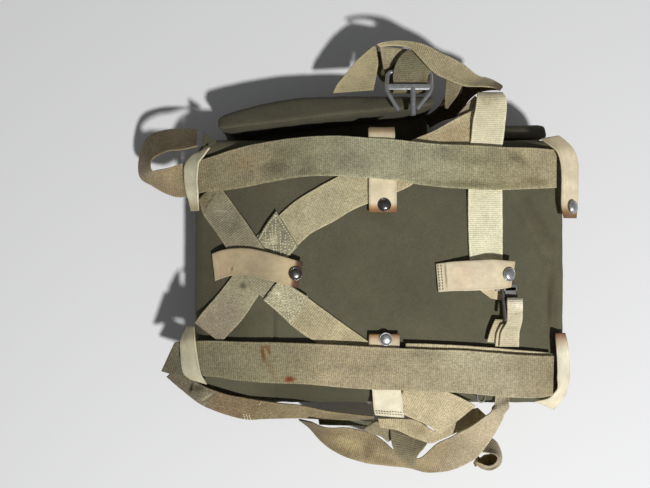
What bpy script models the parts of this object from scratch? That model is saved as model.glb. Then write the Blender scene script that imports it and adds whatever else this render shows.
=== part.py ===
# Packed back parachute lying on its outer face, with its webbing harness folded on top.
# Lengths in the tables are in millimetres, angles in degrees.
# x runs along the length of the pack, y across it, z up from the surface it lies on.
# The origin is the centre of the flat face that the pack rests on.

import math

import bmesh
import bpy
from mathutils import Matrix, Vector

# Driving sizes
MM = 0.001
PACK_LEFT = -264.0
PACK_RIGHT = 267.0
PACK_NEAR = -196.0
PACK_FAR = 187.0
PACK_RIM_HEIGHT = 112.0
PACK_CROWN = 17.0
PACK_CROWN_POWER = 2.6
PACK_CORNER_RADIUS = 40.0
PACK_FOOT_INSET = 14.0
NEAR_SHOULDER = 34.0
LEFT_SHOULDER = 20.0
RIGHT_SHOULDER = 16.0
FAR_SHOULDER = 12.0
POCKET_LEFT = -229.0
POCKET_RIGHT = 86.0
POCKET_NEAR = 190.0
POCKET_FAR = 250.0
POCKET_WALL_HEIGHT = 108.0
POCKET_SLOPE = 0.48
POCKET_RIDGE = 196.0
POCKET_RIDGE_RISE = 38.0
POCKET_NEAR_SHOULDER = 5.0
POCKET_END_START = -60.0
POCKET_END_FALL = 10.0
POCKET_CORNER_RADIUS = 18.0
POCKET_SHOULDER = 9.0
POCKET_BOW_START = -70.0
POCKET_BOW_DEPTH = 32.0
FOLD_LEFT = 96.0
FOLD_RIGHT = 252.0
FOLD_NEAR = 190.0
FOLD_FAR = 213.0
FOLD_WALL_HEIGHT = 82.0
FOLD_SLOPE = 0.5
FOLD_CORNER_RADIUS = 10.0
FOLD_SHOULDER = 8.0
WEBBING_THICKNESS = 2.2
LEATHER_THICKNESS = 2.4
CANVAS_THICKNESS = 1.6
CAP_RADIUS = 9.2
CAP_HEIGHT = 4.2
ROD_RADIUS = 3.0
BUCKLE_ROD_RADIUS = 2.4
SMALL_RING_RADIUS = 8.0
SMALL_ROD_RADIUS = 1.7
STEPS_PER_ROW = 3
OUTLINE_POINTS = 64

# Each strap is a row of stations along its middle line.
# Columns: x, y, z, azimuth of the width line, lean of the width line, width
UPPER_WIDE_STRAP = (
    (-255, 188, 100.0, 108, -54, 60),
    (-278, 186, 99.0, 109, -48, 60),
    (-302, 184, 97.0, 113, -46, 60),
    (-325, 173, 95.0, 118, -44, 60),
    (-332, 153, 95.0, 150, -53, 60),
    (-329, 136, 96.0, 186, -56, 60),
    (-314, 131, 98.0, 215, -56, 56),
    (-295, 127, 99.0, 247, -36, 48),
    (-274, 127, 103.0, 270, 0, 48),
    (-254, 129, 115.5, 267, 0, 47),
    (-233, 134, 121.0, 264, 2, 49),
    (-211, 138, 122.7, 265, 3, 55),
    (-191, 142, 124.0, 267, 5, 58),
    (-145, 151, 125.1, 267, 9, 59),
    (-99, 157, 127.1, 268, 15, 59),
    (-61, 158, 128.4, 270, 18, 61),
    (-16, 155, 129.4, 270, 14, 59),
    (21, 152, 129.9, 271, 11, 59),
    (48, 148, 130.5, 266, 9, 60),
    (82, 144, 131.7, 268, 9, 61),
    (120, 142, 132.2, 268, 8, 62),
    (169, 140, 131.0, 267, 6, 60),
    (214, 141, 125.1, 269, 4, 57),
    (245, 141, 120.1, 269, 2, 53),
)
RISER_STRAP = (
    (160, -39, 126.9, -12, -4, 17),
    (154, -28, 127.4, -3, -4, 31),
    (148, -12, 128.0, -0, -4, 43),
    (146, 14, 128.3, 4, -4, 46),
    (145, 56, 127.8, 0, -3, 48),
    (145, 110, 126.5, 2, -3, 48),
    (146, 152, 124.7, 0, -2, 46),
    (148, 172, 120.5, -2, 0, 45),
    (150, 187, 120.9, -2, 0, 45),
    (152, 207, 121.4, -2, 0, 45),
    (155, 227, 121.0, -2, 0, 43),
    (156, 240, 118.5, -2, 0, 41),
    (157, 248, 111.0, -1, 0, 36),
    (161, 250, 100.0, -1, 0, 34),
    (166, 250, 86.0, -2, 0, 33),
)
RISING_DIAGONAL_STRAP = (
    (143, 203, 113.5, 118, 0, 47),
    (117, 191, 116.0, 116, -4, 46),
    (87, 175, 119.5, 117, -11, 45),
    (60, 162, 119.9, 116, -12, 48),
    (35, 144, 123.0, 114, -8, 55),
    (-5, 125, 125.6, 117, -6, 54),
    (-46, 107, 127.5, 115, -5, 51),
    (-74, 91, 128.5, 120, -4, 52),
    (-109, 70, 128.8, 122, -3, 49),
    (-127, 53, 128.7, 131, -3, 48),
    (-158, 19, 127.2, 135, -3, 54),
    (-183, -19, 125.2, 139, -4, 46),
    (-208, -53, 122.2, 143, -5, 49),
    (-228, -75, 119.3, 146, -6, 48),
    (-237, -86, 118.0, 145, -10, 47),
)
FALLING_DIAGONAL_STRAP = (
    (-238, 111, 116.9, -137, -6, 35),
    (-228, 93, 119.2, -136, -4, 43),
    (-214, 74, 121.6, -143, -4, 43),
    (-199, 54, 127.0, -142, -4, 43),
    (-185, 33, 130.9, -145, -4, 44),
    (-168, 10, 132.5, -140, -4, 43),
    (-148, -17, 133.8, -140, -3, 43),
    (-126, -40, 130.5, -136, -3, 42),
    (-100, -62, 129.5, -124, -3, 45),
    (-70, -83, 129.2, -123, -4, 43),
    (-29, -112, 127.2, -122, -5, 43),
    (-15, -122, 126.1, -122, -6, 44),
)
RISING_STITCHED_END = (
    (-126, 58, 131.6, 122, -3, 57),
    (-140, 41, 131.3, 125, -3, 54),
    (-152, 23, 130.8, 125, -3, 51),
)
FALLING_STITCHED_END = (
    (-147, -24, 136.7, -127, -3, 37),
    (-129, -38, 135.0, -123, -2, 40),
    (-109, -54, 133.2, -121, -3, 46),
)
MIDDLE_KEEPER = (
    (-228, 5, 121.3, -83, 1, 38),
    (-217, 9, 127.7, -84, 1, 38),
    (-205, 12, 133.3, -86, 1, 37),
    (-180, 13, 136.8, -90, 0, 37),
    (-155, 8, 139.7, -96, -0, 37),
    (-132, 2, 140.7, -101, -1, 36),
    (-108, -5, 138.9, -102, -1, 36),
)
RIGHT_KEEPER = (
    (78, -9, 131.5, -85, -0, 39),
    (97, -7, 132.8, -86, -0, 40),
    (115, -6, 136.1, -86, -0, 41),
    (132, -5, 139.2, -88, -0, 41),
    (149, -4, 142.3, -92, 0, 41),
    (163, -4, 141.8, -94, 0, 39),
    (180, -4, 135.4, -99, 1, 36),
)
UPPER_TAB = (
    (4, 80, 133.3, 0, -0, 38),
    (4, 97, 132.9, 0, -0, 38),
    (4, 124, 130.4, -2, 0, 38),
    (4, 159, 125.1, -2, 0, 37),
    (3, 176, 121.6, -1, 0, 37),
    (4, 188, 118.0, 0, 0, 37),
    (4, 197, 113.5, 0, 0, 37),
    (5, 200, 108.5, 0, 0, 36),
)
LOWER_TAB = (
    (15, -202, 116.5, -5, 0, 41),
    (13, -191, 119.0, -3, 0, 41),
    (12, -179, 121.0, -2, 0, 41),
    (10, -164, 123.9, -0, -0, 40),
    (7, -128, 129.8, -0, -0, 41),
    (6, -102, 132.5, -0, -0, 42),
    (6, -85, 133.0, -0, -0, 42),
)
LOWER_WIDE_STRAP = (
    (-297, -123, 100.0, -117, -13, 50),
    (-277, -124, 106.0, -100, 0, 49),
    (-250, -121, 119.0, -93, 0, 49),
    (-226, -121, 122.7, -94, -3, 51),
    (-199, -123, 125.6, -94, -4, 54),
    (-146, -125, 129.2, -95, -6, 58),
    (-99, -126, 131.9, -96, -7, 58),
    (-51, -129, 133.6, -96, -7, 60),
    (-3, -132, 133.3, -96, -8, 61),
    (26, -133, 133.2, -92, -8, 60),
    (74, -135, 132.6, -91, -8, 60),
    (117, -137, 131.5, -91, -8, 61),
    (157, -141, 129.8, -90, -8, 62),
    (192, -144, 127.9, -89, -8, 62),
    (221, -145, 125.8, -89, -6, 60),
    (239, -144, 124.5, -90, -4, 56),
)
LOWER_STRAP_LAYER = (
    (35, -126, 129.9, -90, -7, 58),
    (74, -128, 129.2, -91, -7, 59),
    (118, -131, 128.0, -91, -7, 60),
    (159, -135, 126.2, -91, -6, 61),
    (193, -137, 124.3, -90, -5, 58),
    (222, -137, 122.3, -90, -3, 52),
    (238, -137, 120.9, -91, -2, 47),
)
LOW_LEFT_STRAP = (
    (-294, -146, 90.0, -136, -30, 33),
    (-271, -160, 103.0, -123, -25, 29),
    (-244, -174, 114.5, -113, -22, 31),
    (-218, -186, 110.0, -104, -34, 42),
    (-183, -197, 101.0, -106, -32, 44),
    (-149, -200, 98.0, -105, -42, 44),
    (-112, -203, 93.0, -99, -50, 45),
    (-73, -212, 80.0, -97, -58, 45),
    (-38, -215, 79.0, -85, -62, 45),
    (-3, -218, 78.0, -80, -63, 45),
)
RIBBED_STRAP = (
    (32, -170, 116.3, -112, -15, 59),
    (52, -179, 115.3, -114, -14, 58),
    (85, -194, 112.0, -113, -13, 59),
    (113, -211, 105.0, -138, -8, 64),
)
LONG_TWISTED_STRAP = (
    (170, -162, 119.0, 180, 1, 18),
    (172, -174, 114.9, 180, 1, 19),
    (172, -186, 112.5, 195, -42, 21),
    (170, -196, 109.0, 170, 21, 26),
    (162, -211, 103.0, 164, 25, 36),
    (144, -238, 92.0, 146, 17, 46),
    (127, -257, 84.0, 132, 0, 46),
    (104, -271, 79.0, 124, 0, 46),
    (87, -280, 75.0, 112, 20, 46),
    (69, -288, 72.0, 112, 41, 46),
    (46, -284, 70.0, 107, 46, 46),
    (26, -279, 69.0, 94, 40, 46),
    (10, -272, 68.0, 85, 24, 46),
    (-10, -265, 67.0, 81, 4, 46),
    (-32, -259, 66.0, 75, 4, 46),
    (-52, -253, 66.0, 73, 18, 46),
    (-71, -246, 66.0, 63, 40, 46),
    (-88, -235, 66.0, 41, 58, 46),
    (-104, -224, 68.0, 22, 61, 46),
)
SHORT_BAND = (
    (2, -217, 98.0, -77, -14, 15),
    (29, -220, 98.0, -84, -14, 20),
    (52, -226, 97.0, -100, -14, 28),
    (71, -236, 94.0, -115, -14, 22),
    (78, -240, 91.0, -112, -10, 21),
    (94, -234, 86.0, -85, -4, 22),
    (113, -227, 79.0, -80, 2, 23),
    (136, -217, 76.0, -68, 2, 23),
    (155, -208, 76.0, -43, 2, 16),
)
CURL_BAND = (
    (47, -240, 84.3, -19, 2, 58),
    (44, -250, 88.0, -15, 6, 49),
    (42, -261, 91.0, -9, 8, 36),
    (45, -273, 92.0, -1, 8, 21),
    (52, -283, 92.0, -2, 8, 8),
)
FOLD_PIECE = (
    (-10, -225, 84.0, -145, -10, 23),
    (2, -232, 81.0, -138, -8, 23),
    (14, -239, 77.0, -147, -4, 18),
    (23, -249, 74.0, -141, -2, 14),
)
END_LOOP = (
    (151, -262, 66.0, -160, 59, 36),
    (162, -260, 66.0, -151, 48, 36),
    (173, -264, 65.0, -161, 53, 36),
    (182, -272, 63.0, -192, 61, 36),
    (186, -282, 60.0, -217, 57, 36),
    (184, -292, 57.0, -227, 54, 36),
    (174, -299, 55.0, -240, 55, 36),
    (160, -296, 55.0, -248, 58, 36),
    (151, -289, 54.0, -256, 59, 36),
    (156, -291, 50.0, -288, 2, 14),
    (167, -294, 46.0, -269, 2, 23),
    (181, -292, 44.0, -262, 2, 23),
    (188, -284, 44.0, -250, 2, 18),
)
TOP_LEFT_LEG = (
    (-34, 256, 89.0, 5, -3, 59),
    (-31, 265, 90.0, 5, -6, 57),
    (-23, 281, 92.0, 9, -12, 49),
    (-14, 299, 94.0, 6, -18, 34),
    (-7, 311, 96.0, -5, -24, 16),
    (-2, 318, 97.0, -23, -24, 6),
)
TOP_FOLD = (
    (23, 313, 106.0, 1, -16, 45),
    (20, 304, 104.0, 2, -20, 35),
    (15, 294, 101.0, 2, -26, 20),
    (11, 285, 99.0, -3, -30, 7),
)
RING_WEB = (
    (31, 317, 82.0, 1, 2, 87),
    (35, 301, 82.0, -1, 2, 85),
    (40, 280, 83.0, -1, 2, 75),
    (43, 265, 87.0, -1, 2, 62),
    (45, 253, 95.0, -1, 2, 51),
    (45, 252, 102.0, -1, 2, 46),
    (45, 260, 106.6, 0, 2, 47),
    (45, 272, 111.2, 0, 2, 49),
    (52, 286, 113.6, -2, 2, 57),
    (58, 299, 113.0, -7, 2, 50),
    (57, 306, 112.5, -9, 2, 31),
)
TOP_RIGHT_ARC = (
    (-1, 312, 118.0, -44, 12, 6),
    (15, 314, 120.0, -33, 16, 12),
    (41, 312, 121.0, -73, 20, 13),
    (59, 303, 122.0, -108, 16, 23),
    (80, 288, 121.0, -114, 16, 33),
    (103, 277, 119.0, -132, 20, 38),
    (129, 264, 116.0, -138, 30, 35),
    (153, 261, 113.0, -139, 40, 29),
    (169, 257, 110.0, -134, 40, 17),
    (173, 256, 105.0, -132, 20, 9),
    (173, 260, 99.0, -100, 5, 10),
    (162, 265, 94.0, -86, 2, 17),
    (142, 266, 87.0, -83, 2, 26),
    (127, 259, 83.0, -71, 2, 34),
    (115, 246, 79.0, -57, 2, 37),
    (106, 233, 74.0, -46, 2, 29),
    (93, 226, 70.0, -49, 2, 20),
    (76, 217, 66.0, -62, 2, 19),
)
TOP_RIGHT_LEG = (
    (107, 264, 108.0, -19, -12, 26),
    (105, 254, 104.0, -11, -25, 24),
    (102, 242, 99.0, 5, -45, 22),
    (99, 231, 94.0, 13, -55, 9),
)
SMALL_FOLD = (
    (140, 241, 108.0, -45, 0, 12),
    (132, 230, 107.0, -23, 0, 17),
    (123, 216, 106.0, -13, 0, 24),
)
CORNER_KEEPER_UPPER_LEFT = (
    (-237, 168, 124.0, 10, 38, 14),
    (-248, 160, 122.0, -11, 36, 22),
    (-258, 149, 120.0, -1, 38, 30),
    (-260, 130, 120.5, -19, 37, 30),
    (-259, 114, 121.0, -15, 40, 30),
    (-256, 94, 119.5, -4, 43, 22),
    (-255, 83, 117.0, -3, 42, 18),
)
CORNER_KEEPER_LOWER_LEFT = (
    (-261, -77, 117.0, 8, 44, 18),
    (-263, -86, 118.5, 12, 39, 26),
    (-264, -95, 121.0, 16, 33, 30),
    (-263, -111, 121.0, 9, 28, 30),
    (-261, -129, 121.0, 5, 24, 30),
    (-257, -144, 121.0, 0, 23, 30),
    (-249, -153, 121.0, -14, 10, 25),
)
CORNER_KEEPER_UPPER_RIGHT = (
    (268, 73, 112.0, -178, 42, 38),
    (266, 91, 114.0, -177, 34, 38),
    (266, 109, 115.5, -177, 32, 38),
    (266, 129, 116.0, -176, 32, 38),
    (265, 150, 116.0, -175, 31, 38),
    (258, 167, 118.5, -172, 30, 38),
    (247, 177, 119.0, -166, 26, 34),
    (237, 185, 118.0, -169, 16, 30),
)
CORNER_KEEPER_LOWER_RIGHT = (
    (251, -86, 119.5, 175, 30, 21),
    (254, -103, 118.0, 171, 39, 32),
    (257, -127, 115.5, 169, 42, 38),
    (257, -149, 115.5, 167, 42, 38),
    (255, -166, 115.0, 167, 40, 30),
    (248, -178, 113.5, 164, 10, 19),
    (233, -189, 109.0, 156, 8, 33),
)
BUCKLE_TAIL_TOP = (
    (175, -102, 134.4, -1, -4, 28),
    (176, -82, 136.9, -1, -4, 26),
    (181, -67, 138.6, 1, -5, 22),
    (181, -57, 140.3, 1, -5, 22),
    (180, -47, 143.6, 1, -5, 22),
    (180, -39, 142.7, -1, -5, 22),
    (182, -36, 137.6, -0, -5, 22),
    (183, -39, 132.4, -1, -5, 21),
    (183, -50, 129.8, -1, -5, 20),
)
BUCKLE_TAIL_MIDDLE = (
    (170, -102, 131.3, -1, -4, 27),
    (172, -83, 133.4, -1, -4, 27),
    (176, -71, 134.6, 1, -4, 24),
)
BUCKLE_TAIL_LOWER = (
    (161, -98, 128.5, -6, -4, 30),
    (165, -81, 130.3, -3, -4, 29),
    (169, -66, 131.4, -4, -4, 25),
)
EDGE_STRIP = (
    (-84, -229, 54.0, -82, 0, 11),
    (-59, -230, 54.0, -90, 0, 11),
    (-29, -231, 54.0, -90, 0, 8),
    (4, -233, 54.0, -99, 0, 9),
)
CANVAS_EAR = (
    (-244, 183, 116.0, -90, 0, 20),
    (-234, 180, 116.0, -90, 0, 12),
    (-226, 179, 116.0, -90, 0, 4),
)

WEBBING_STRAPS = {
    "upper_wide_strap": UPPER_WIDE_STRAP,
    "riser_strap": RISER_STRAP,
    "rising_diagonal_strap": RISING_DIAGONAL_STRAP,
    "falling_diagonal_strap": FALLING_DIAGONAL_STRAP,
    "rising_stitched_end": RISING_STITCHED_END,
    "falling_stitched_end": FALLING_STITCHED_END,
    "lower_wide_strap": LOWER_WIDE_STRAP,
    "lower_strap_layer": LOWER_STRAP_LAYER,
    "low_left_strap": LOW_LEFT_STRAP,
    "ribbed_strap": RIBBED_STRAP,
    "long_twisted_strap": LONG_TWISTED_STRAP,
    "short_band": SHORT_BAND,
    "curl_band": CURL_BAND,
    "fold_piece": FOLD_PIECE,
    "end_loop": END_LOOP,
    "top_left_leg": TOP_LEFT_LEG,
    "top_fold": TOP_FOLD,
    "ring_web": RING_WEB,
    "top_right_arc": TOP_RIGHT_ARC,
    "top_right_leg": TOP_RIGHT_LEG,
    "small_fold": SMALL_FOLD,
    "buckle_tail_top": BUCKLE_TAIL_TOP,
    "buckle_tail_middle": BUCKLE_TAIL_MIDDLE,
    "buckle_tail_lower": BUCKLE_TAIL_LOWER,
    "edge_strip": EDGE_STRIP,
}

LEATHER_KEEPERS = {
    "middle_keeper": MIDDLE_KEEPER,
    "right_keeper": RIGHT_KEEPER,
    "upper_tab": UPPER_TAB,
    "lower_tab": LOWER_TAB,
    "corner_keeper_upper_left": CORNER_KEEPER_UPPER_LEFT,
    "corner_keeper_lower_left": CORNER_KEEPER_LOWER_LEFT,
    "corner_keeper_upper_right": CORNER_KEEPER_UPPER_RIGHT,
    "corner_keeper_lower_right": CORNER_KEEPER_LOWER_RIGHT,
}

# Finish of each stuff. Columns: roughness, metallic
CANVAS_LOOK = (0.92, 0.0)
WEBBING_LOOK = (0.9, 0.0)
LEATHER_LOOK = (0.75, 0.0)
STEEL_LOOK = (0.35, 1.0)

# Colour of each piece as linear red, green, blue
COLOURS = {
    "pack_body": (0.127, 0.114, 0.072),
    "side_pocket": (0.061, 0.056, 0.038),
    "far_wall_fold": (0.067, 0.063, 0.040),
    "canvas_ear": (0.095, 0.093, 0.054),
    "upper_wide_strap": (0.301, 0.283, 0.178),
    "riser_strap": (0.694, 0.651, 0.445),
    "rising_diagonal_strap": (0.474, 0.418, 0.254),
    "falling_diagonal_strap": (0.445, 0.397, 0.231),
    "rising_stitched_end": (0.456, 0.413, 0.262),
    "falling_stitched_end": (0.352, 0.323, 0.198),
    "lower_wide_strap": (0.386, 0.332, 0.205),
    "lower_strap_layer": (0.515, 0.445, 0.283),
    "low_left_strap": (0.181, 0.141, 0.072),
    "ribbed_strap": (0.624, 0.521, 0.319),
    "long_twisted_strap": (0.456, 0.371, 0.216),
    "short_band": (0.456, 0.392, 0.242),
    "curl_band": (0.238, 0.205, 0.117),
    "fold_piece": (0.275, 0.231, 0.144),
    "end_loop": (0.371, 0.314, 0.223),
    "top_left_leg": (0.361, 0.305, 0.178),
    "top_fold": (0.386, 0.337, 0.209),
    "ring_web": (0.178, 0.159, 0.091),
    "top_right_arc": (0.266, 0.227, 0.130),
    "top_right_leg": (0.188, 0.162, 0.098),
    "small_fold": (0.352, 0.301, 0.202),
    "buckle_tail_top": (0.776, 0.701, 0.521),
    "buckle_tail_middle": (0.591, 0.515, 0.337),
    "buckle_tail_lower": (0.591, 0.515, 0.337),
    "edge_strip": (0.141, 0.138, 0.098),
    "middle_keeper": (0.314, 0.254, 0.153),
    "right_keeper": (0.761, 0.644, 0.434),
    "upper_tab": (0.723, 0.617, 0.376),
    "lower_tab": (0.753, 0.665, 0.456),
    "corner_keeper_upper_left": (0.440, 0.407, 0.283),
    "corner_keeper_lower_left": (0.462, 0.418, 0.305),
    "corner_keeper_upper_right": (0.694, 0.597, 0.407),
    "corner_keeper_lower_right": (0.791, 0.716, 0.527),
    "snap_cap_middle": (0.434, 0.423, 0.381),
    "snap_cap_right": (0.491, 0.479, 0.434),
    "snap_cap_upper_tab": (0.491, 0.479, 0.434),
    "snap_cap_lower_tab": (0.491, 0.479, 0.434),
    "snap_cap_corner": (0.434, 0.423, 0.381),
    "harness_ring": (0.445, 0.456, 0.456),
    "friction_buckle": (0.413, 0.413, 0.402),
    "small_ring": (0.392, 0.392, 0.371),
}

# Snap caps. Columns: x, y, z of the base, lean of the cap, azimuth of the lean
SNAP_CAPS = {
    "snap_cap_middle": (-114, -3, 142.2, 7, -20),
    "snap_cap_right": (173, -4, 141.8, 17, 0),
    "snap_cap_upper_tab": (6, 90, 134.7, 2, 90),
    "snap_cap_lower_tab": (8, -92, 134.4, 2, -90),
    "snap_cap_corner": (270, 88, 117.2, 33, 3),
}

# Ring of the harness, corners of its rod. Columns: x, y, z
RING_CORNERS = (
    (14, 279, 106),
    (11, 251, 114),
    (30, 221, 117),
    (52, 221, 117),
    (74, 251, 114),
    (74, 279, 106),
)
RING_BAR = ((11, 253, 113.5), (74, 253, 113.5))
RING_TONGUE = ((48, 254, 113.5), (48, 216, 116))

# Friction buckle. Columns: centre x, y, z and size x, y, z
BUCKLE_PLATES = (
    (172, -22, 131.4, 30, 10, 2.4),
    (178, -28, 131.4, 16, 14, 2.4),
)
BUCKLE_BAR = ((166.5, -22, 131.8), (166.5, -66, 145.0))

# Small ring beside the ribbed strap
SMALL_RING_CENTRE = (141, -173, 121.0)


def shoulder(radius, distance):
    """Fall of the rounded edge at a distance in from the outline."""
    if distance >= radius:
        return 0.0
    inside = radius - max(distance, 0.0)
    return radius - math.sqrt(max(radius * radius - inside * inside, 0.0))


def pack_top(x, y):
    """Height of the pack's upper face."""
    middle_x = (PACK_LEFT + PACK_RIGHT) / 2
    u = min(abs((x - middle_x) / ((PACK_RIGHT - PACK_LEFT) / 2)), 1.0)
    v = min(abs(y / PACK_FAR), 1.0)
    crown = PACK_CROWN * (1 - u ** PACK_CROWN_POWER) * (1 - v ** PACK_CROWN_POWER)
    fall = max(
        shoulder(NEAR_SHOULDER, y - PACK_NEAR),
        shoulder(FAR_SHOULDER, PACK_FAR - y),
        shoulder(LEFT_SHOULDER, x - PACK_LEFT),
        shoulder(RIGHT_SHOULDER, PACK_RIGHT - x),
    )
    return PACK_RIM_HEIGHT + crown - fall


def pocket_ridge(x):
    """Near edge of the side pocket's upper face."""
    return POCKET_RIDGE + POCKET_RIDGE_RISE * (x - POCKET_LEFT) / (POCKET_RIGHT - POCKET_LEFT)


def pocket_edge(x):
    """Far edge of the side pocket, drawn in towards its left end."""
    bow = max(POCKET_BOW_START - x, 0.0) / (POCKET_BOW_START - POCKET_LEFT)
    return POCKET_FAR - POCKET_BOW_DEPTH * bow * bow


def pocket_place(x, y, share):
    """Place of an outline point at a share of the height: a low step stands before the raised part."""
    near = POCKET_NEAR
    if share > 0.35:
        near = pocket_ridge(x)
    across = (y - POCKET_NEAR) / (POCKET_FAR - POCKET_NEAR)
    return x, near + across * (pocket_edge(x) - near)


def pocket_top(x, y):
    """Height of the side pocket's upper face, which slopes away from the pack."""
    end = min(max((x - POCKET_END_START) / (POCKET_RIGHT - POCKET_END_START), 0.0), 1.0)
    fall = max(
        shoulder(POCKET_SHOULDER, pocket_edge(x) - y),
        shoulder(POCKET_NEAR_SHOULDER, y - pocket_ridge(x)),
        shoulder(POCKET_SHOULDER, x - POCKET_LEFT),
        shoulder(POCKET_SHOULDER, POCKET_RIGHT - x),
    )
    fall += POCKET_END_FALL * end * end * (3 - 2 * end)
    return POCKET_WALL_HEIGHT - POCKET_SLOPE * max(y - pocket_ridge(x), 0.0) - fall


def fold_top(x, y):
    """Height of the canvas fold that stands out from the far wall."""
    fall = max(
        shoulder(FOLD_SHOULDER, FOLD_FAR - y),
        shoulder(FOLD_SHOULDER, x - FOLD_LEFT),
        shoulder(FOLD_SHOULDER, FOLD_RIGHT - x),
    )
    return FOLD_WALL_HEIGHT - FOLD_SLOPE * (y - FOLD_NEAR) - fall


def rounded_outline(left, right, near, far, radius, count):
    """Points round a rectangle with round corners, counter-clockwise."""
    width = right - left
    depth = far - near
    straight_x = width - 2 * radius
    straight_y = depth - 2 * radius
    quarter = math.pi * radius / 2
    total = 2 * (straight_x + straight_y) + 4 * quarter
    legs = (
        ("line", right, near + radius, 0, 1, straight_y),
        ("arc", right - radius, far - radius, 0.0, 0, quarter),
        ("line", right - radius, far, -1, 0, straight_x),
        ("arc", left + radius, far - radius, 90.0, 0, quarter),
        ("line", left, far - radius, 0, -1, straight_y),
        ("arc", left + radius, near + radius, 180.0, 0, quarter),
        ("line", left + radius, near, 1, 0, straight_x),
        ("arc", right - radius, near + radius, 270.0, 0, quarter),
    )
    points = []
    for index in range(count):
        run = total * index / count
        for kind, x, y, a, b, length in legs:
            if run <= length:
                break
            run -= length
        if kind == "line":
            points.append((x + a * run, y + b * run))
        else:
            turn = math.radians(a + 90.0 * min(run / quarter, 1.0))
            points.append((x + radius * math.cos(turn), y + radius * math.sin(turn)))
    return points


def surface(name, look):
    """Plain material of one piece, in its own colour."""
    roughness, metallic = look
    material = bpy.data.materials.new(name)
    material.use_nodes = True
    shader = material.node_tree.nodes["Principled BSDF"]
    shader.inputs["Base Color"].default_value = (*COLOURS[name], 1.0)
    shader.inputs["Roughness"].default_value = roughness
    shader.inputs["Metallic"].default_value = metallic
    return material


def finish(name, mesh_data, material, smooth):
    """One closed, outward facing object from a bmesh."""
    bmesh.ops.recalc_face_normals(mesh_data, faces=mesh_data.faces[:])
    bmesh.ops.scale(mesh_data, vec=(MM, MM, MM), verts=mesh_data.verts[:])
    mesh = bpy.data.meshes.new(name)
    mesh_data.to_mesh(mesh)
    mesh_data.free()
    for face in mesh.polygons:
        face.use_smooth = smooth
    mesh.materials.append(material)
    item = bpy.data.objects.new(name, mesh)
    bpy.context.scene.collection.objects.link(item)
    return item


def upright(x, y, share):
    """Place of an outline point on a body with plain sides."""
    return x, y


def filled_body(name, outline, levels, rings, top, material, place=upright):
    """Cushion with a flat foot, sides in levels and a crowned top in shrinking rings."""
    data = bmesh.new()
    centre_x = sum(p[0] for p in outline) / len(outline)
    centre_y = sum(p[1] for p in outline) / len(outline)
    loops = []
    for share, inset in levels:
        loop = []
        for x, y in outline:
            reach = math.hypot(x - centre_x, y - centre_y)
            scale = (reach - inset) / reach
            ex, ey = place(x, y, share)
            px, py = place(centre_x + (x - centre_x) * scale, centre_y + (y - centre_y) * scale, share)
            loop.append(data.verts.new((px, py, share * top(ex, ey))))
        loops.append(loop)
    for scale in rings:
        loop = []
        for x, y in outline:
            px, py = place(centre_x + (x - centre_x) * scale, centre_y + (y - centre_y) * scale, 1.0)
            loop.append(data.verts.new((px, py, top(px, py))))
        loops.append(loop)
    count = len(outline)
    for lower, upper in zip(loops, loops[1:]):
        for index in range(count):
            after = (index + 1) % count
            data.faces.new((lower[index], lower[after], upper[after], upper[index]))
    peak_x, peak_y = place(centre_x, centre_y, 1.0)
    peak = data.verts.new((peak_x, peak_y, top(peak_x, peak_y)))
    last = loops[-1]
    for index in range(count):
        data.faces.new((last[index], last[(index + 1) % count], peak))
    data.faces.new(tuple(reversed(loops[0])))
    return finish(name, data, material, True)


def smooth_rows(rows, steps):
    """Rows in between the stations, on a smooth curve through them."""
    spans = [math.dist(a[:3], b[:3]) for a, b in zip(rows, rows[1:])]
    slopes = []
    for index, row in enumerate(rows):
        if index == 0:
            slope = [(b - a) / spans[0] for a, b in zip(rows[0], rows[1])]
        elif index == len(rows) - 1:
            slope = [(b - a) / spans[-1] for a, b in zip(rows[-2], rows[-1])]
        else:
            before = spans[index - 1]
            behind = spans[index]
            slope = []
            for a, b, c in zip(rows[index - 1], row, rows[index + 1]):
                first = (b - a) / before
                second = (c - b) / behind
                slope.append((first * behind + second * before) / (before + behind))
        slopes.append(slope)
    out = []
    for index, span in enumerate(spans):
        for step in range(steps):
            t = step / steps
            h0 = 2 * t ** 3 - 3 * t ** 2 + 1
            h1 = t ** 3 - 2 * t ** 2 + t
            h2 = 3 * t ** 2 - 2 * t ** 3
            h3 = t ** 3 - t ** 2
            out.append([
                h0 * a + h1 * span * m + h2 * b + h3 * span * n
                for a, b, m, n in zip(rows[index], rows[index + 1], slopes[index], slopes[index + 1])
            ])
    out.append(list(rows[-1]))
    return out


def strap(name, rows, thickness, material):
    """Flat band of constant thickness along its stations, with closed ends."""
    stations = smooth_rows(rows, STEPS_PER_ROW)
    data = bmesh.new()
    sections = []
    for index, (x, y, z, azimuth, lean, width) in enumerate(stations):
        before = Vector(stations[max(index - 1, 0)][:3])
        behind = Vector(stations[min(index + 1, len(stations) - 1)][:3])
        along = (behind - before).normalized()
        turn = math.radians(azimuth)
        tilt = math.radians(lean)
        across = Vector((math.cos(turn) * math.cos(tilt), math.sin(turn) * math.cos(tilt), math.sin(tilt)))
        normal = along.cross(across).normalized()
        middle = Vector((x, y, z))
        side = across * (width / 2)
        rise = normal * (thickness / 2)
        corners = (middle - side - rise, middle + side - rise, middle + side + rise, middle - side + rise)
        sections.append([data.verts.new(c) for c in corners])
    for first, second in zip(sections, sections[1:]):
        for corner in range(4):
            after = (corner + 1) % 4
            data.faces.new((first[corner], first[after], second[after], second[corner]))
    data.faces.new(tuple(reversed(sections[0])))
    data.faces.new(tuple(sections[-1]))
    return finish(name, data, material, False)


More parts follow.
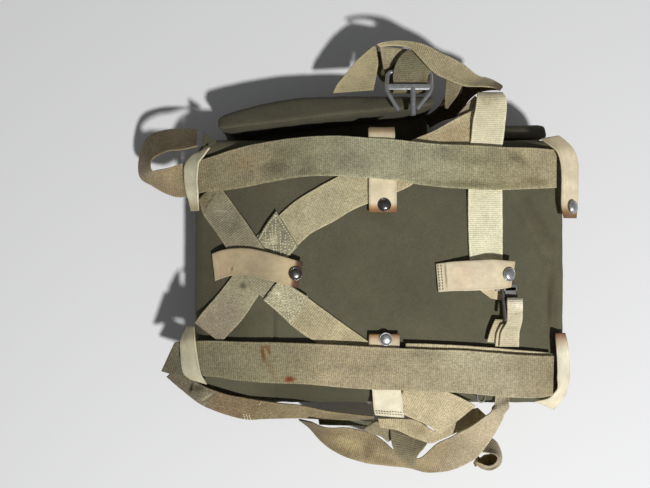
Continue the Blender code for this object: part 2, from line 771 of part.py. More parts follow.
def snap_cap(name, x, y, z, lean, azimuth, material):
    """Low dome with a flat base, leaned with the leather under it."""
    data = bmesh.new()
    sides = 20
    profile = ((1.0, 0.0), (1.0, 0.28), (0.82, 0.68), (0.45, 0.94))
    loops = []
    for reach, height in profile:
        loop = []
        for index in range(sides):
            turn = 2 * math.pi * index / sides
            out = CAP_RADIUS * reach
            loop.append(data.verts.new((out * math.cos(turn), out * math.sin(turn), CAP_HEIGHT * height)))
        loops.append(loop)
    for lower, upper in zip(loops, loops[1:]):
        for index in range(sides):
            after = (index + 1) % sides
            data.faces.new((lower[index], lower[after], upper[after], upper[index]))
    peak = data.verts.new((0, 0, CAP_HEIGHT))
    for index in range(sides):
        data.faces.new((loops[-1][index], loops[-1][(index + 1) % sides], peak))
    data.faces.new(tuple(reversed(loops[0])))
    turn = Matrix.Rotation(math.radians(azimuth), 4, "Z") @ Matrix.Rotation(math.radians(lean), 4, "Y")
    bmesh.ops.transform(data, matrix=Matrix.Translation((x, y, z)) @ turn, verts=data.verts[:])
    return finish(name, data, material, True)


def rod(start, end, radius, sides=12):
    """Straight round rod as its own mesh."""
    data = bmesh.new()
    start = Vector(start)
    end = Vector(end)
    reach = end - start
    turn = reach.to_track_quat("Z", "Y").to_matrix().to_4x4()
    bmesh.ops.create_cone(
        data, cap_ends=True, segments=sides, radius1=radius, radius2=radius, depth=reach.length,
        matrix=Matrix.Translation((start + end) / 2) @ turn,
    )
    return data


def closed_rod(corners, radius, bend, sides=12):
    """Round rod bent round a closed figure, with rounded corners."""
    points = []
    count = len(corners)
    for index in range(count):
        before = Vector(corners[index - 1])
        corner = Vector(corners[index])
        behind = Vector(corners[(index + 1) % count])
        first = corner + (before - corner).normalized() * bend
        second = corner + (behind - corner).normalized() * bend
        for step in range(4):
            t = step / 3
            points.append(first * (1 - t) ** 2 + corner * (2 * t * (1 - t)) + second * t * t)
    data = bmesh.new()
    centre = sum(points, Vector()) / len(points)
    spread = (points[2] - centre).cross(points[10] - centre).normalized()
    rings = []
    total = len(points)
    for index, point in enumerate(points):
        along = (points[(index + 1) % total] - points[index - 1]).normalized()
        outward = along.cross(spread).normalized()
        upward = outward.cross(along).normalized()
        ring = []
        for side in range(sides):
            turn = 2 * math.pi * side / sides
            ring.append(data.verts.new(point + radius * (outward * math.cos(turn) + upward * math.sin(turn))))
        rings.append(ring)
    for index in range(total):
        first = rings[index]
        second = rings[(index + 1) % total]
        for side in range(sides):
            after = (side + 1) % sides
            data.faces.new((first[side], first[after], second[after], second[side]))
    return data


def box(x, y, z, size_x, size_y, size_z):
    """Plain plate as its own mesh."""
    data = bmesh.new()
    matrix = Matrix.Translation((x, y, z)) @ Matrix.Diagonal((size_x, size_y, size_z, 1))
    bmesh.ops.create_cube(data, size=1.0, matrix=matrix)
    return data


def joined(name, pieces, material, smooth):
    """One body from several overlapping meshes."""
    parts = []
    for index, data in enumerate(pieces):
        parts.append(finish(name + "_" + str(index), data, material, smooth))
    base = parts[0]
    for other in parts[1:]:
        union = base.modifiers.new("union", "BOOLEAN")
        union.operation = "UNION"
        union.solver = "EXACT"
        union.object = other
    graph = bpy.context.evaluated_depsgraph_get()
    mesh = bpy.data.meshes.new_from_object(base.evaluated_get(graph))
    mesh.name = name
    item = bpy.data.objects.new(name, mesh)
    bpy.context.scene.collection.objects.link(item)
    for part in parts:
        bpy.data.objects.remove(part, do_unlink=True)
    return item


def main():
    for item in list(bpy.data.objects):
        bpy.data.objects.remove(item, do_unlink=True)
    pack_outline = rounded_outline(
        PACK_LEFT, PACK_RIGHT, PACK_NEAR, PACK_FAR, PACK_CORNER_RADIUS, OUTLINE_POINTS)
    pack_levels = ((0.0, PACK_FOOT_INSET), (0.10, 5.0), (0.35, 0.6), (0.62, 0.0), (0.85, 0.0))
    pack_rings = (1.0, 0.988, 0.965, 0.93, 0.86, 0.74, 0.58, 0.38, 0.18)
    pack_look = surface("pack_body", CANVAS_LOOK)
    filled_body("pack_body", pack_outline, pack_levels, pack_rings, pack_top, pack_look)

    pocket_outline = rounded_outline(
        POCKET_LEFT, POCKET_RIGHT, POCKET_NEAR, POCKET_FAR, POCKET_CORNER_RADIUS, 56)
    pocket_levels = ((0.0, 4.0), (0.12, 1.0), (0.34, 0.0), (0.40, 0.0), (0.85, 0.0))
    pocket_rings = (1.0, 0.96, 0.88, 0.7, 0.4)
    pocket_look = surface("side_pocket", CANVAS_LOOK)
    filled_body(
        "side_pocket", pocket_outline, pocket_levels, pocket_rings, pocket_top, pocket_look, pocket_place)

    fold_outline = rounded_outline(FOLD_LEFT, FOLD_RIGHT, FOLD_NEAR, FOLD_FAR, FOLD_CORNER_RADIUS, 40)
    fold_levels = ((0.0, 3.0), (0.15, 1.0), (0.5, 0.0), (0.85, 0.0))
    fold_rings = (1.0, 0.94, 0.8, 0.5)
    fold_look = surface("far_wall_fold", CANVAS_LOOK)
    filled_body("far_wall_fold", fold_outline, fold_levels, fold_rings, fold_top, fold_look)

    strap("canvas_ear", CANVAS_EAR, CANVAS_THICKNESS, surface("canvas_ear", CANVAS_LOOK))
    for name, rows in WEBBING_STRAPS.items():
        strap(name, rows, WEBBING_THICKNESS, surface(name, WEBBING_LOOK))
    for name, rows in LEATHER_KEEPERS.items():
        strap(name, rows, LEATHER_THICKNESS, surface(name, LEATHER_LOOK))
    for name, (x, y, z, lean, azimuth) in SNAP_CAPS.items():
        snap_cap(name, x, y, z, lean, azimuth, surface(name, STEEL_LOOK))

    frame = closed_rod(RING_CORNERS, ROD_RADIUS, 5.0)
    bar = rod(RING_BAR[0], RING_BAR[1], ROD_RADIUS)
    tongue = rod(RING_TONGUE[0], RING_TONGUE[1], ROD_RADIUS)
    joined("harness_ring", (frame, bar, tongue), surface("harness_ring", STEEL_LOOK), True)

    first_plate = box(*BUCKLE_PLATES[0])
    second_plate = box(*BUCKLE_PLATES[1])
    buckle_bar = rod(BUCKLE_BAR[0], BUCKLE_BAR[1], BUCKLE_ROD_RADIUS)
    joined(
        "friction_buckle", (first_plate, second_plate, buckle_bar),
        surface("friction_buckle", STEEL_LOOK), False)

    x, y, z = SMALL_RING_CENTRE
    turns = ((1, 1), (-1, 1), (-1, -1), (1, -1))
    corners = [(x + SMALL_RING_RADIUS * a, y + SMALL_RING_RADIUS * b, z) for a, b in turns]
    round_rod = closed_rod(corners, SMALL_ROD_RADIUS, SMALL_RING_RADIUS * 0.8, 10)
    joined("small_ring", (round_rod,), surface("small_ring", STEEL_LOOK), True)


main()
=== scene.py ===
# Packed back parachute lying on its outer face, with its webbing harness folded on top.
# Lengths in the tables are in millimetres, angles in degrees. Colours in the tables are
# display values from 0 to 255.

import math

import bmesh
import bpy
import numpy as np
from mathutils import Matrix, Vector, noise


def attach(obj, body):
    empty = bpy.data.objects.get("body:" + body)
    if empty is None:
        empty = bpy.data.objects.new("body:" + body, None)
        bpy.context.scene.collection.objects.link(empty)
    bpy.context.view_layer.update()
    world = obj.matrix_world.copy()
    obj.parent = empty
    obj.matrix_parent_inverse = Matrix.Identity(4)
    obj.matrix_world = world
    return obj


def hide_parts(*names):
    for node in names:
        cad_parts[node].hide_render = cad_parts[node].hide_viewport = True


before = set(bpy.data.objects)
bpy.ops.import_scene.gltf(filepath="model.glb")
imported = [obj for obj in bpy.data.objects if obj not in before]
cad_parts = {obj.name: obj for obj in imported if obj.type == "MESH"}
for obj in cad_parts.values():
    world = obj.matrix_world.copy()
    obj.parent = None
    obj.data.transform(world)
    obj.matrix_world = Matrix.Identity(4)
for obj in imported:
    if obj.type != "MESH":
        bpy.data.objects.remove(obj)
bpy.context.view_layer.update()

MM = 0.001

# Camera straight above, in the photo's frame
CAMERA_PLACE = (-74.5, 37.0, 883.0)
CAMERA_LENS = 30.57
CAMERA_SENSOR = 36.0
CAMERA_SIGHT = 50000.0

# Light, sky and floor. The lamp's way is a direction, its power is in watts
LIGHT_WAY = (0.273, -0.489, 0.828)
LIGHT_REACH = 4000.0
LIGHT_WIDTH = 260.0
LIGHT_POWER = 142.0
SKY_COLOUR = (0.95, 0.97, 1.0)
SKY_STRENGTH = 0.125
FLOOR_COLOUR = (0.87, 0.87, 0.87)
FLOOR_ROUGHNESS = 0.85
FLOOR_GLOSS = 0.2
FLOOR_SIZE = 12000.0
FLOOR_DROP = 0.3

# Pack
PACK_LEFT = -264.0
PACK_RIGHT = 267.0
PACK_NEAR = -196.0
PACK_FAR = 187.0
PACK_RIM_HEIGHT = 112.0
PACK_CROWN = 17.0
PACK_CROWN_POWER = 2.6
PACK_CORNER_RADIUS = 40.0
PACK_FOOT_INSET = 14.0
NEAR_SHOULDER = 34.0
LEFT_SHOULDER = 20.0
RIGHT_SHOULDER = 16.0
FAR_SHOULDER = 12.0

# Side pocket. Its raised part starts above a share of the height
POCKET_LEFT = -229.0
POCKET_RIGHT = 86.0
POCKET_NEAR = 190.0
POCKET_FAR = 250.0
POCKET_WALL_HEIGHT = 108.0
POCKET_SLOPE = 0.48
POCKET_STEP = 0.35
POCKET_RIDGE = 196.0
POCKET_RIDGE_RISE = 38.0
POCKET_NEAR_SHOULDER = 5.0
POCKET_END_START = -60.0
POCKET_END_FALL = 10.0
POCKET_CORNER_RADIUS = 18.0
POCKET_SHOULDER = 9.0
POCKET_BOW_START = -70.0
POCKET_BOW_DEPTH = 32.0

# Canvas fold on the far wall
FOLD_LEFT = 96.0
FOLD_RIGHT = 252.0
FOLD_NEAR = 190.0
FOLD_FAR = 213.0
FOLD_WALL_HEIGHT = 82.0
FOLD_SLOPE = 0.5
FOLD_CORNER_RADIUS = 10.0
FOLD_SHOULDER = 8.0

# Side walls and upper faces of the canvas forms, before they are filled.
# Levels: share of the height, inset. Rings: share of the outline
PACK_LEVELS = (
    (0.0, PACK_FOOT_INSET), (0.05, 8.0), (0.10, 5.0), (0.2, 2.4), (0.35, 0.6), (0.62, 0.0),
    (0.85, 0.0),
)
PACK_RINGS = (
    1.0, 0.995, 0.988, 0.977, 0.965, 0.95, 0.93, 0.9, 0.86, 0.8, 0.74, 0.66, 0.58, 0.48, 0.38, 0.28,
    0.18, 0.08,
)
POCKET_LEVELS = (
    (0.0, 4.0), (0.05, 2.5), (0.12, 1.0), (0.24, 0.3), (0.34, 0.0), (0.40, 0.0), (0.6, 0.0),
    (0.85, 0.0),
)
POCKET_RINGS = (1.0, 0.985, 0.96, 0.93, 0.88, 0.8, 0.7, 0.55, 0.4, 0.2)
FOLD_LEVELS = ((0.0, 3.0), (0.15, 1.0), (0.5, 0.0), (0.85, 0.0))
FOLD_RINGS = (1.0, 0.97, 0.94, 0.88, 0.8, 0.65, 0.5, 0.25)
OUTLINE_POINTS = {"pack": 200, "pocket": 180, "fold": 120}

# How the canvas is filled
FILLING_STEPS = 20
FILLING_QUALITY = 4
CANVAS_STIFFNESS = 12.0
CANVAS_BENDING = 0.6
FOOT_HEIGHT = 1.0

# Canvas that is lower than this stays smooth, and a face turned further than this is a wall
RUMPLE_START = 4.0
WALL_TURN = 0.75

# Colour of the canvas on the upper faces and on the walls
PACK_TONES = ((101, 97, 78), (84, 82, 62))
POCKET_TONES = ((94, 90, 73), (80, 77, 60))
FOLD_TONES = ((92, 89, 71), (80, 77, 60))

# Webbing, leather and canvas bands. Rim: steps in from the edge where the section is round.
# Pitch: from point to point across a band, with at least so many of them
WEBBING_THICKNESS = 2.2
LEATHER_THICKNESS = 2.4
CANVAS_THICKNESS = 1.6
BAND_RIM = (0.0, 0.12, 0.45, 1.1)
BAND_INNER_EDGE = 1.5
BAND_PITCH = 2.6
BAND_LEAST = 7
STATION_STEP = 2.5
EAR_STEP = 1.5

# Line of wear along a band's edge: place in from the edge, half width
WEAR_PLACE = 1.6
WEAR_WIDTH = 1.2

# Steel fittings. Cap profile: rise, draw in
CAP_RADIUS = 9.2
CAP_FOOT = 1.0
CAP_SIDES = 40
CAP_PROFILE = (
    (0.5, 0.955), (0.0, 0.93), (-0.35, 0.985), (0.3, 0.97), (0.9, 0.92), (0.75, 0.86), (0.55, 0.78),
    (0.35, 0.64), (0.15, 0.45),
)
CAP_LIP = 0.8
CAP_EDGE = 0.15
CAP_FACING = 0.9
ROD_RADIUS = 3.0
TONGUE_RADIUS = 3.6
RING_BEND = 7.0
RING_BAR_EDGE = 1.3
BUCKLE_ROD_RADIUS = 2.4
BUCKLE_EDGE = 0.9
SMALL_RING_RADIUS = 8.0
SMALL_RING_SQUASH = 0.7
SMALL_RING_CORNERS = 12
SMALL_RING_BEND = 3.0
SMALL_ROD_RADIUS = 1.7
PIN_BEND = 1.0
BEND_STEPS = 8
BEND_LIMIT = 0.45
ROD_ROUNDNESS = 5
PLATE_SMOOTH_ANGLE = 40.0

# Stitches. Profile: share of the length, swelling of the thread
STITCH_PITCH = 3.6
STITCH_LENGTH = 2.9
STITCH_THICKNESS = 0.75
STITCH_LIFT = 1.1
STITCH_SIDES = 6
STITCH_PROFILE = ((0.0, 0.25), (0.2, 0.85), (0.5, 1.0), (0.8, 0.85), (1.0, 0.25))

# Middle part of Blender's noise, which a speckle spreads over its whole range
NOISE_LOW = 0.28
NOISE_HIGH = 0.72

# Woven finishes: pitch of the ribs and of the threads, shift of the ribs from thread to thread,
# contrast and depth of the weave, dirt, sheen, brightness
WOVEN_FINISHES = {
    "olive_canvas": (0.9, 0.9, 1.0, 0.10, 0.10, 0.05, 0.05, 0.98),
    "wide_webbing": (2.8, 3.4, 0.0, 0.29, 0.5, 0.14, 0.08, 1.09),
    "ribbed_webbing": (2.8, 3.0, 0.1, 0.36, 0.55, 0.12, 0.08, 1.10),
    "pale_webbing": (2.7, 3.4, 0.0, 0.22, 0.42, 0.07, 0.08, 1.11),
    "worn_webbing": (2.6, 2.6, 0.5, 0.32, 0.60, 0.19, 0.08, 1.06),
}

# Steel finishes: share of bare metal, colour, lowest and highest roughness, colour of the dirt
STEEL_FINISHES = {
    "worn_steel": (0.65, (0.50, 0.51, 0.52), 0.26, 0.48, (0.19, 0.19, 0.18)),
    "cap_steel": (0.85, (0.20, 0.19, 0.175), 0.18, 0.36, (0.05, 0.045, 0.04)),
    "dull_steel": (0.45, (0.20, 0.195, 0.175), 0.36, 0.60, (0.07, 0.065, 0.06)),
}

THREAD_COLOURS = {"pale_thread": (228, 220, 188), "dark_thread": (120, 110, 84)}

# Webbing that isn't finished as ribbed webbing, and caps that aren't bright
BAND_FINISHES = {
    "upper_wide_strap": "wide_webbing", "lower_wide_strap": "wide_webbing",
    "lower_strap_layer": "wide_webbing",
    "riser_strap": "pale_webbing", "top_left_leg": "pale_webbing", "small_fold": "pale_webbing",
    "buckle_tail_top": "pale_webbing", "buckle_tail_middle": "pale_webbing",
    "buckle_tail_lower": "pale_webbing",
    "rising_stitched_end": "worn_webbing", "falling_stitched_end": "worn_webbing",
    "low_left_strap": "worn_webbing",
}
DARK_CAPS = ("snap_cap_middle", "snap_cap_upper_tab")

# Each band is a row of stations along its middle line.
# Columns: x, y, z, azimuth of the width line, lean of the width line, width
WEBBING_STRAPS = {
    "upper_wide_strap": (
        (-255, 188, 100.0, 108, -54, 60),
        (-278, 186, 99.0, 109, -48, 60),
        (-302, 184, 97.0, 113, -46, 60),
        (-325, 173, 95.0, 118, -44, 60),
        (-332, 153, 95.0, 150, -53, 60),
        (-329, 136, 96.0, 186, -56, 60),
        (-314, 131, 98.0, 215, -56, 56),
        (-295, 127, 99.0, 247, -36, 48),
        (-274, 127, 103.0, 270, 0, 48),
        (-254, 129, 115.5, 267, 0, 47),
        (-233, 134, 121.0, 264, 2, 49),
        (-211, 138, 122.7, 265, 3, 55),
        (-191, 142, 124.0, 267, 5, 58),
        (-145, 151, 125.1, 267, 9, 59),
        (-99, 157, 127.1, 268, 15, 59),
        (-61, 158, 128.4, 270, 18, 61),
        (-16, 155, 129.4, 270, 14, 59),
        (21, 152, 129.9, 271, 11, 59),
        (48, 148, 130.5, 266, 9, 60),
        (82, 144, 131.7, 268, 9, 61),
        (120, 142, 132.2, 268, 8, 62),
        (169, 140, 131.0, 267, 6, 60),
        (214, 141, 125.1, 269, 4, 57),
        (245, 141, 120.1, 269, 2, 53),
    ),
    "riser_strap": (
        (160, -39, 126.9, -12, -4, 17),
        (154, -28, 127.4, -3, -4, 31),
        (148, -12, 128.0, 0, -4, 43),
        (146, 14, 128.3, 4, -4, 46),
        (145, 56, 127.8, 0, -3, 48),
        (145, 110, 126.5, 2, -3, 48),
        (146, 152, 124.7, 0, -2, 46),
        (148, 172, 120.5, -2, 0, 45),
        (150, 187, 120.9, -2, 0, 45),
        (152, 207, 121.4, -2, 0, 45),
        (155, 227, 121.0, -2, 0, 43),
        (156, 240, 118.5, -2, 0, 41),
        (157, 248, 111.0, -1, 0, 36),
        (161, 250, 100.0, -1, 0, 34),
        (166, 250, 86.0, -2, 0, 33),
    ),
    "rising_diagonal_strap": (
        (143, 203, 113.5, 118, 0, 47),
        (117, 191, 116.0, 116, -4, 46),
        (87, 175, 119.5, 117, -11, 45),
        (60, 162, 119.9, 116, -12, 48),
        (35, 144, 123.0, 114, -8, 55),
        (-5, 125, 125.6, 117, -6, 54),
        (-46, 107, 127.5, 115, -5, 51),
        (-74, 91, 128.5, 120, -4, 52),
        (-109, 70, 128.8, 122, -3, 49),
        (-127, 53, 128.7, 131, -3, 48),
        (-158, 19, 127.2, 135, -3, 54),
        (-183, -19, 125.2, 139, -4, 46),
        (-208, -53, 122.2, 143, -5, 49),
        (-228, -75, 119.3, 146, -6, 48),
        (-237, -86, 118.0, 145, -10, 47),
    ),
    "falling_diagonal_strap": (
        (-238, 111, 116.9, -137, -6, 35),
        (-228, 93, 119.2, -136, -4, 43),
        (-214, 74, 121.6, -143, -4, 43),
        (-199, 54, 127.0, -142, -4, 43),
        (-185, 33, 130.9, -145, -4, 44),
        (-168, 10, 132.5, -140, -4, 43),
        (-148, -17, 133.8, -140, -3, 43),
        (-126, -40, 130.5, -136, -3, 42),
        (-100, -62, 129.5, -124, -3, 45),
        (-70, -83, 129.2, -123, -4, 43),
        (-29, -112, 127.2, -122, -5, 43),
        (-15, -122, 126.1, -122, -6, 44),
    ),
    "rising_stitched_end": (
        (-126, 58, 131.6, 122, -3, 57),
        (-140, 41, 131.3, 125, -3, 54),
        (-152, 23, 130.8, 125, -3, 51),
    ),
    "falling_stitched_end": (
        (-147, -24, 136.7, -127, -3, 37),
        (-129, -38, 135.0, -123, -2, 40),
        (-109, -54, 133.2, -121, -3, 46),
    ),
    "lower_wide_strap": (
        (-297, -123, 100.0, -117, -13, 50),
        (-277, -124, 106.0, -100, 0, 49),
        (-250, -121, 119.0, -93, 0, 49),
        (-226, -121, 122.7, -94, -3, 51),
        (-199, -123, 125.6, -94, -4, 54),
        (-146, -125, 129.2, -95, -6, 58),
        (-99, -126, 131.9, -96, -7, 58),
        (-51, -129, 133.6, -96, -7, 60),
        (-3, -132, 133.3, -96, -8, 61),
        (26, -133, 133.2, -92, -8, 60),
        (74, -135, 132.6, -91, -8, 60),
        (117, -137, 131.5, -91, -8, 61),
        (157, -141, 129.8, -90, -8, 62),
        (192, -144, 127.9, -89, -8, 62),
        (221, -145, 125.8, -89, -6, 60),
        (239, -144, 124.5, -90, -4, 56),
    ),
    "lower_strap_layer": (
        (35, -126, 129.9, -90, -7, 58),
        (74, -128, 129.2, -91, -7, 59),
        (118, -131, 128.0, -91, -7, 60),
        (159, -135, 126.2, -91, -6, 61),
        (193, -137, 124.3, -90, -5, 58),
        (222, -137, 122.3, -90, -3, 52),
        (238, -137, 120.9, -91, -2, 47),
    ),
    "low_left_strap": (
        (-294, -146, 90.0, -136, -30, 33),
        (-271, -160, 103.0, -123, -25, 29),
        (-244, -174, 114.5, -113, -22, 31),
        (-218, -186, 110.0, -104, -34, 42),
        (-183, -197, 101.0, -106, -32, 44),
        (-149, -200, 98.0, -105, -42, 44),
        (-112, -203, 93.0, -99, -50, 45),
        (-73, -212, 80.0, -97, -58, 45),
        (-38, -215, 79.0, -85, -62, 45),
        (-3, -218, 78.0, -80, -63, 45),
    ),
    "ribbed_strap": (
        (32, -170, 116.3, -112, -15, 59),
        (52, -179, 115.3, -114, -14, 58),
        (85, -194, 112.0, -113, -13, 59),
        (113, -211, 105.0, -138, -8, 64),
    ),
    "long_twisted_strap": (
        (170, -162, 119.0, 180, 1, 18),
        (172, -174, 114.9, 180, 1, 19),
        (172, -186, 112.5, 195, -42, 21),
        (170, -196, 109.0, 170, 21, 26),
        (162, -211, 103.0, 164, 25, 36),
        (144, -238, 92.0, 146, 17, 46),
        (127, -257, 84.0, 132, 0, 46),
        (104, -271, 79.0, 124, 0, 46),
        (87, -280, 75.0, 112, 20, 46),
        (69, -288, 72.0, 112, 41, 46),
        (46, -284, 70.0, 107, 46, 46),
        (26, -279, 69.0, 94, 40, 46),
        (10, -272, 68.0, 85, 24, 46),
        (-10, -265, 67.0, 81, 4, 46),
        (-32, -259, 66.0, 75, 4, 46),
        (-52, -253, 66.0, 73, 18, 46),
        (-71, -246, 66.0, 63, 40, 46),
        (-88, -235, 66.0, 41, 58, 46),
        (-104, -224, 68.0, 22, 61, 46),
    ),
    "short_band": (
        (2, -217, 98.0, -77, -14, 15),
        (29, -220, 98.0, -84, -14, 20),
        (52, -226, 97.0, -100, -14, 28),
        (71, -236, 94.0, -115, -14, 22),
        (78, -240, 91.0, -112, -10, 21),
        (94, -234, 86.0, -85, -4, 22),
        (113, -227, 79.0, -80, 2, 23),
        (136, -217, 76.0, -68, 2, 23),
        (155, -208, 76.0, -43, 2, 16),
    ),
    "curl_band": (
        (47, -240, 84.3, -19, 2, 58),
        (44, -250, 88.0, -15, 6, 49),
        (42, -261, 91.0, -9, 8, 36),
        (45, -273, 92.0, -1, 8, 21),
        (52, -283, 92.0, -2, 8, 8),
    ),
    "fold_piece": (
        (-10, -225, 84.0, -145, -10, 23),
        (2, -232, 81.0, -138, -8, 23),
        (14, -239, 77.0, -147, -4, 18),
        (23, -249, 74.0, -141, -2, 14),
    ),
    "end_loop": (
        (151, -262, 66.0, -160, 59, 36),
        (162, -260, 66.0, -151, 48, 36),
        (173, -264, 65.0, -161, 53, 36),
        (182, -272, 63.0, -192, 61, 36),
        (186, -282, 60.0, -217, 57, 36),
        (184, -292, 57.0, -227, 54, 36),
        (174, -299, 55.0, -240, 55, 36),
        (160, -296, 55.0, -248, 58, 36),
        (151, -289, 54.0, -256, 59, 36),
        (156, -291, 50.0, -288, 2, 14),
        (167, -294, 46.0, -269, 2, 23),
        (181, -292, 44.0, -262, 2, 23),
        (188, -284, 44.0, -250, 2, 18),
    ),
    "top_left_leg": (
        (-34, 256, 89.0, 5, -3, 59),
        (-31, 265, 90.0, 5, -6, 57),
        (-23, 281, 92.0, 9, -12, 49),
        (-14, 299, 94.0, 6, -18, 34),
        (-7, 311, 96.0, -5, -24, 16),
        (-2, 318, 97.0, -23, -24, 6),
    ),
    "top_fold": (
        (23, 313, 106.0, 1, -16, 45),
        (20, 304, 104.0, 2, -20, 35),
        (15, 294, 101.0, 2, -26, 20),
        (11, 285, 99.0, -3, -30, 7),
    ),
    "ring_web": (
        (31, 317, 82.0, 1, 2, 87),
        (35, 301, 82.0, -1, 2, 85),
        (40, 280, 83.0, -1, 2, 75),
        (43, 265, 87.0, -1, 2, 62),
        (45, 253, 95.0, -1, 2, 51),
        (45, 252, 102.0, -1, 2, 46),
        (45, 260, 106.6, 0, 2, 47),
        (45, 272, 111.2, 0, 2, 49),
        (52, 286, 113.6, -2, 2, 57),
        (58, 299, 113.0, -7, 2, 50),
        (57, 306, 112.5, -9, 2, 31),
    ),
    "top_right_arc": (
        (-1, 312, 118.0, -44, 12, 6),
        (15, 314, 120.0, -33, 16, 12),
        (41, 312, 121.0, -73, 20, 13),
        (59, 303, 122.0, -108, 16, 23),
        (80, 288, 121.0, -114, 16, 33),
        (103, 277, 119.0, -132, 20, 38),
        (129, 264, 116.0, -138, 30, 35),
        (153, 261, 113.0, -139, 40, 29),
        (169, 257, 110.0, -134, 40, 17),
        (173, 256, 105.0, -132, 20, 9),
        (173, 260, 99.0, -100, 5, 10),
        (162, 265, 94.0, -86, 2, 17),
        (142, 266, 87.0, -83, 2, 26),
        (127, 259, 83.0, -71, 2, 34),
        (115, 246, 79.0, -57, 2, 37),
        (106, 233, 74.0, -46, 2, 29),
        (93, 226, 70.0, -49, 2, 20),
        (76, 217, 66.0, -62, 2, 19),
    ),
    "top_right_leg": (
        (107, 264, 108.0, -19, -12, 26),
        (105, 254, 104.0, -11, -25, 24),
        (102, 242, 99.0, 5, -45, 22),
        (99, 231, 94.0, 13, -55, 9),
    ),
    "small_fold": (
        (140, 241, 108.0, -45, 0, 12),
        (132, 230, 107.0, -23, 0, 17),
        (123, 216, 106.0, -13, 0, 24),
    ),
    "buckle_tail_top": (
        (175, -102, 134.4, -1, -4, 28),
        (176, -82, 136.9, -1, -4, 26),
        (181, -67, 138.6, 1, -5, 22),
        (181, -57, 140.3, 1, -5, 22),
        (180, -47, 143.6, 1, -5, 22),
        (180, -39, 142.7, -1, -5, 22),
        (182, -36, 137.6, 0, -5, 22),
        (183, -39, 132.4, -1, -5, 21),
        (183, -50, 129.8, -1, -5, 20),
    ),
    "buckle_tail_middle": (
        (170, -102, 131.3, -1, -4, 27),
        (172, -83, 133.4, -1, -4, 27),
        (176, -71, 134.6, 1, -4, 24),
    ),
    "buckle_tail_lower": (
        (161, -98, 128.5, -6, -4, 30),
        (165, -81, 130.3, -3, -4, 29),
        (169, -66, 131.4, -4, -4, 25),
    ),
    "edge_strip": (
        (-84, -229, 54.0, -82, 0, 11),
        (-59, -230, 54.0, -90, 0, 11),
        (-29, -231, 54.0, -90, 0, 9.6),
        (4, -233, 54.0, -99, 0, 9.8),
    ),
}
LEATHER_KEEPERS = {
    "middle_keeper": (
        (-228, 5, 121.3, -83, 1, 38),
        (-217, 9, 127.7, -84, 1, 38),
        (-205, 12, 133.3, -86, 1, 37),
        (-180, 13, 136.8, -90, 0, 37),
        (-155, 8, 139.7, -96, 0, 37),
        (-132, 2, 140.7, -101, -1, 36),
        (-108, -5, 138.9, -102, -1, 36),
    ),
    "right_keeper": (
        (78, -9, 131.5, -85, 0, 39),
        (97, -7, 132.8, -86, 0, 40),
        (115, -6, 136.1, -86, 0, 41),
        (132, -5, 139.2, -88, 0, 41),
        (149, -4, 142.3, -92, 0, 41),
        (163, -4, 141.8, -94, 0, 39),
        (180, -4, 135.4, -99, 1, 36),
    ),
    "upper_tab": (
        (4, 80, 133.3, 0, 0, 38),
        (4, 97, 132.9, 0, 0, 38),
        (4, 124, 130.4, -2, 0, 38),
        (4, 159, 125.1, -2, 0, 37),
        (3, 176, 121.6, -1, 0, 37),
        (4, 188, 118.0, 0, 0, 37),
        (4, 197, 113.5, 0, 0, 37),
        (5, 200, 108.5, 0, 0, 36),
    ),
    "lower_tab": (
        (15, -202, 116.5, -5, 0, 41),
        (13, -191, 119.0, -3, 0, 41),
        (12, -179, 121.0, -2, 0, 41),
        (10, -164, 123.9, 0, 0, 40),
        (7, -128, 129.8, 0, 0, 41),
        (6, -102, 132.5, 0, 0, 42),
        (6, -85, 133.0, 0, 0, 42),
    ),
    "corner_keeper_upper_left": (
        (-237, 168, 124.0, 10, 38, 14),
        (-248, 160, 122.0, -11, 36, 22),
        (-258, 149, 120.0, -1, 38, 30),
        (-260, 130, 120.5, -19, 37, 30),
        (-259, 114, 121.0, -15, 40, 30),
        (-256, 94, 119.5, -4, 43, 22),
        (-255, 83, 117.0, -3, 42, 18),
    ),
    "corner_keeper_lower_left": (
        (-261, -77, 117.0, 8, 44, 18),
        (-263, -86, 118.5, 12, 39, 26),
        (-264, -95, 121.0, 16, 33, 30),
        (-263, -111, 121.0, 9, 28, 30),
        (-261, -129, 121.0, 5, 24, 30),
        (-257, -144, 121.0, 0, 23, 30),
        (-249, -153, 121.0, -14, 10, 25),
    ),
    "corner_keeper_upper_right": (
        (268, 73, 112.0, -178, 42, 38),
        (266, 91, 114.0, -177, 34, 38),
        (266, 109, 115.5, -177, 32, 38),
        (266, 129, 116.0, -176, 32, 38),
        (265, 150, 116.0, -175, 31, 38),
        (258, 167, 118.5, -172, 30, 38),
        (247, 177, 119.0, -166, 26, 34),
        (237, 185, 118.0, -169, 16, 30),
    ),
    "corner_keeper_lower_right": (
        (251, -86, 119.5, 175, 30, 21),
        (254, -103, 118.0, 171, 39, 32),
        (257, -127, 115.5, 169, 42, 38),
        (257, -149, 115.5, 167, 42, 38),
        (255, -166, 115.0, 167, 40, 30),
        (248, -178, 113.5, 164, 10, 19),
        (233, -189, 109.0, 156, 8, 33),
    ),
}
CANVAS_EAR = (
    (-244, 183, 116.0, -90, 0, 20),
    (-234, 180, 116.0, -90, 0, 12),
    (-226, 179, 116.0, -90, 0, 4),
)

# Snap caps. Columns: x, y, z of the base, lean of the cap, azimuth of the lean
SNAP_CAPS = {
    "snap_cap_middle": (-114, -3, 142.2, 7, -20),
    "snap_cap_right": (173, -4, 141.8, 17, 0),
    "snap_cap_upper_tab": (6, 90, 134.7, 2, 90),
    "snap_cap_lower_tab": (8, -92, 134.4, 2, -90),
    "snap_cap_corner": (270, 88, 117.2, 33, 3),
}

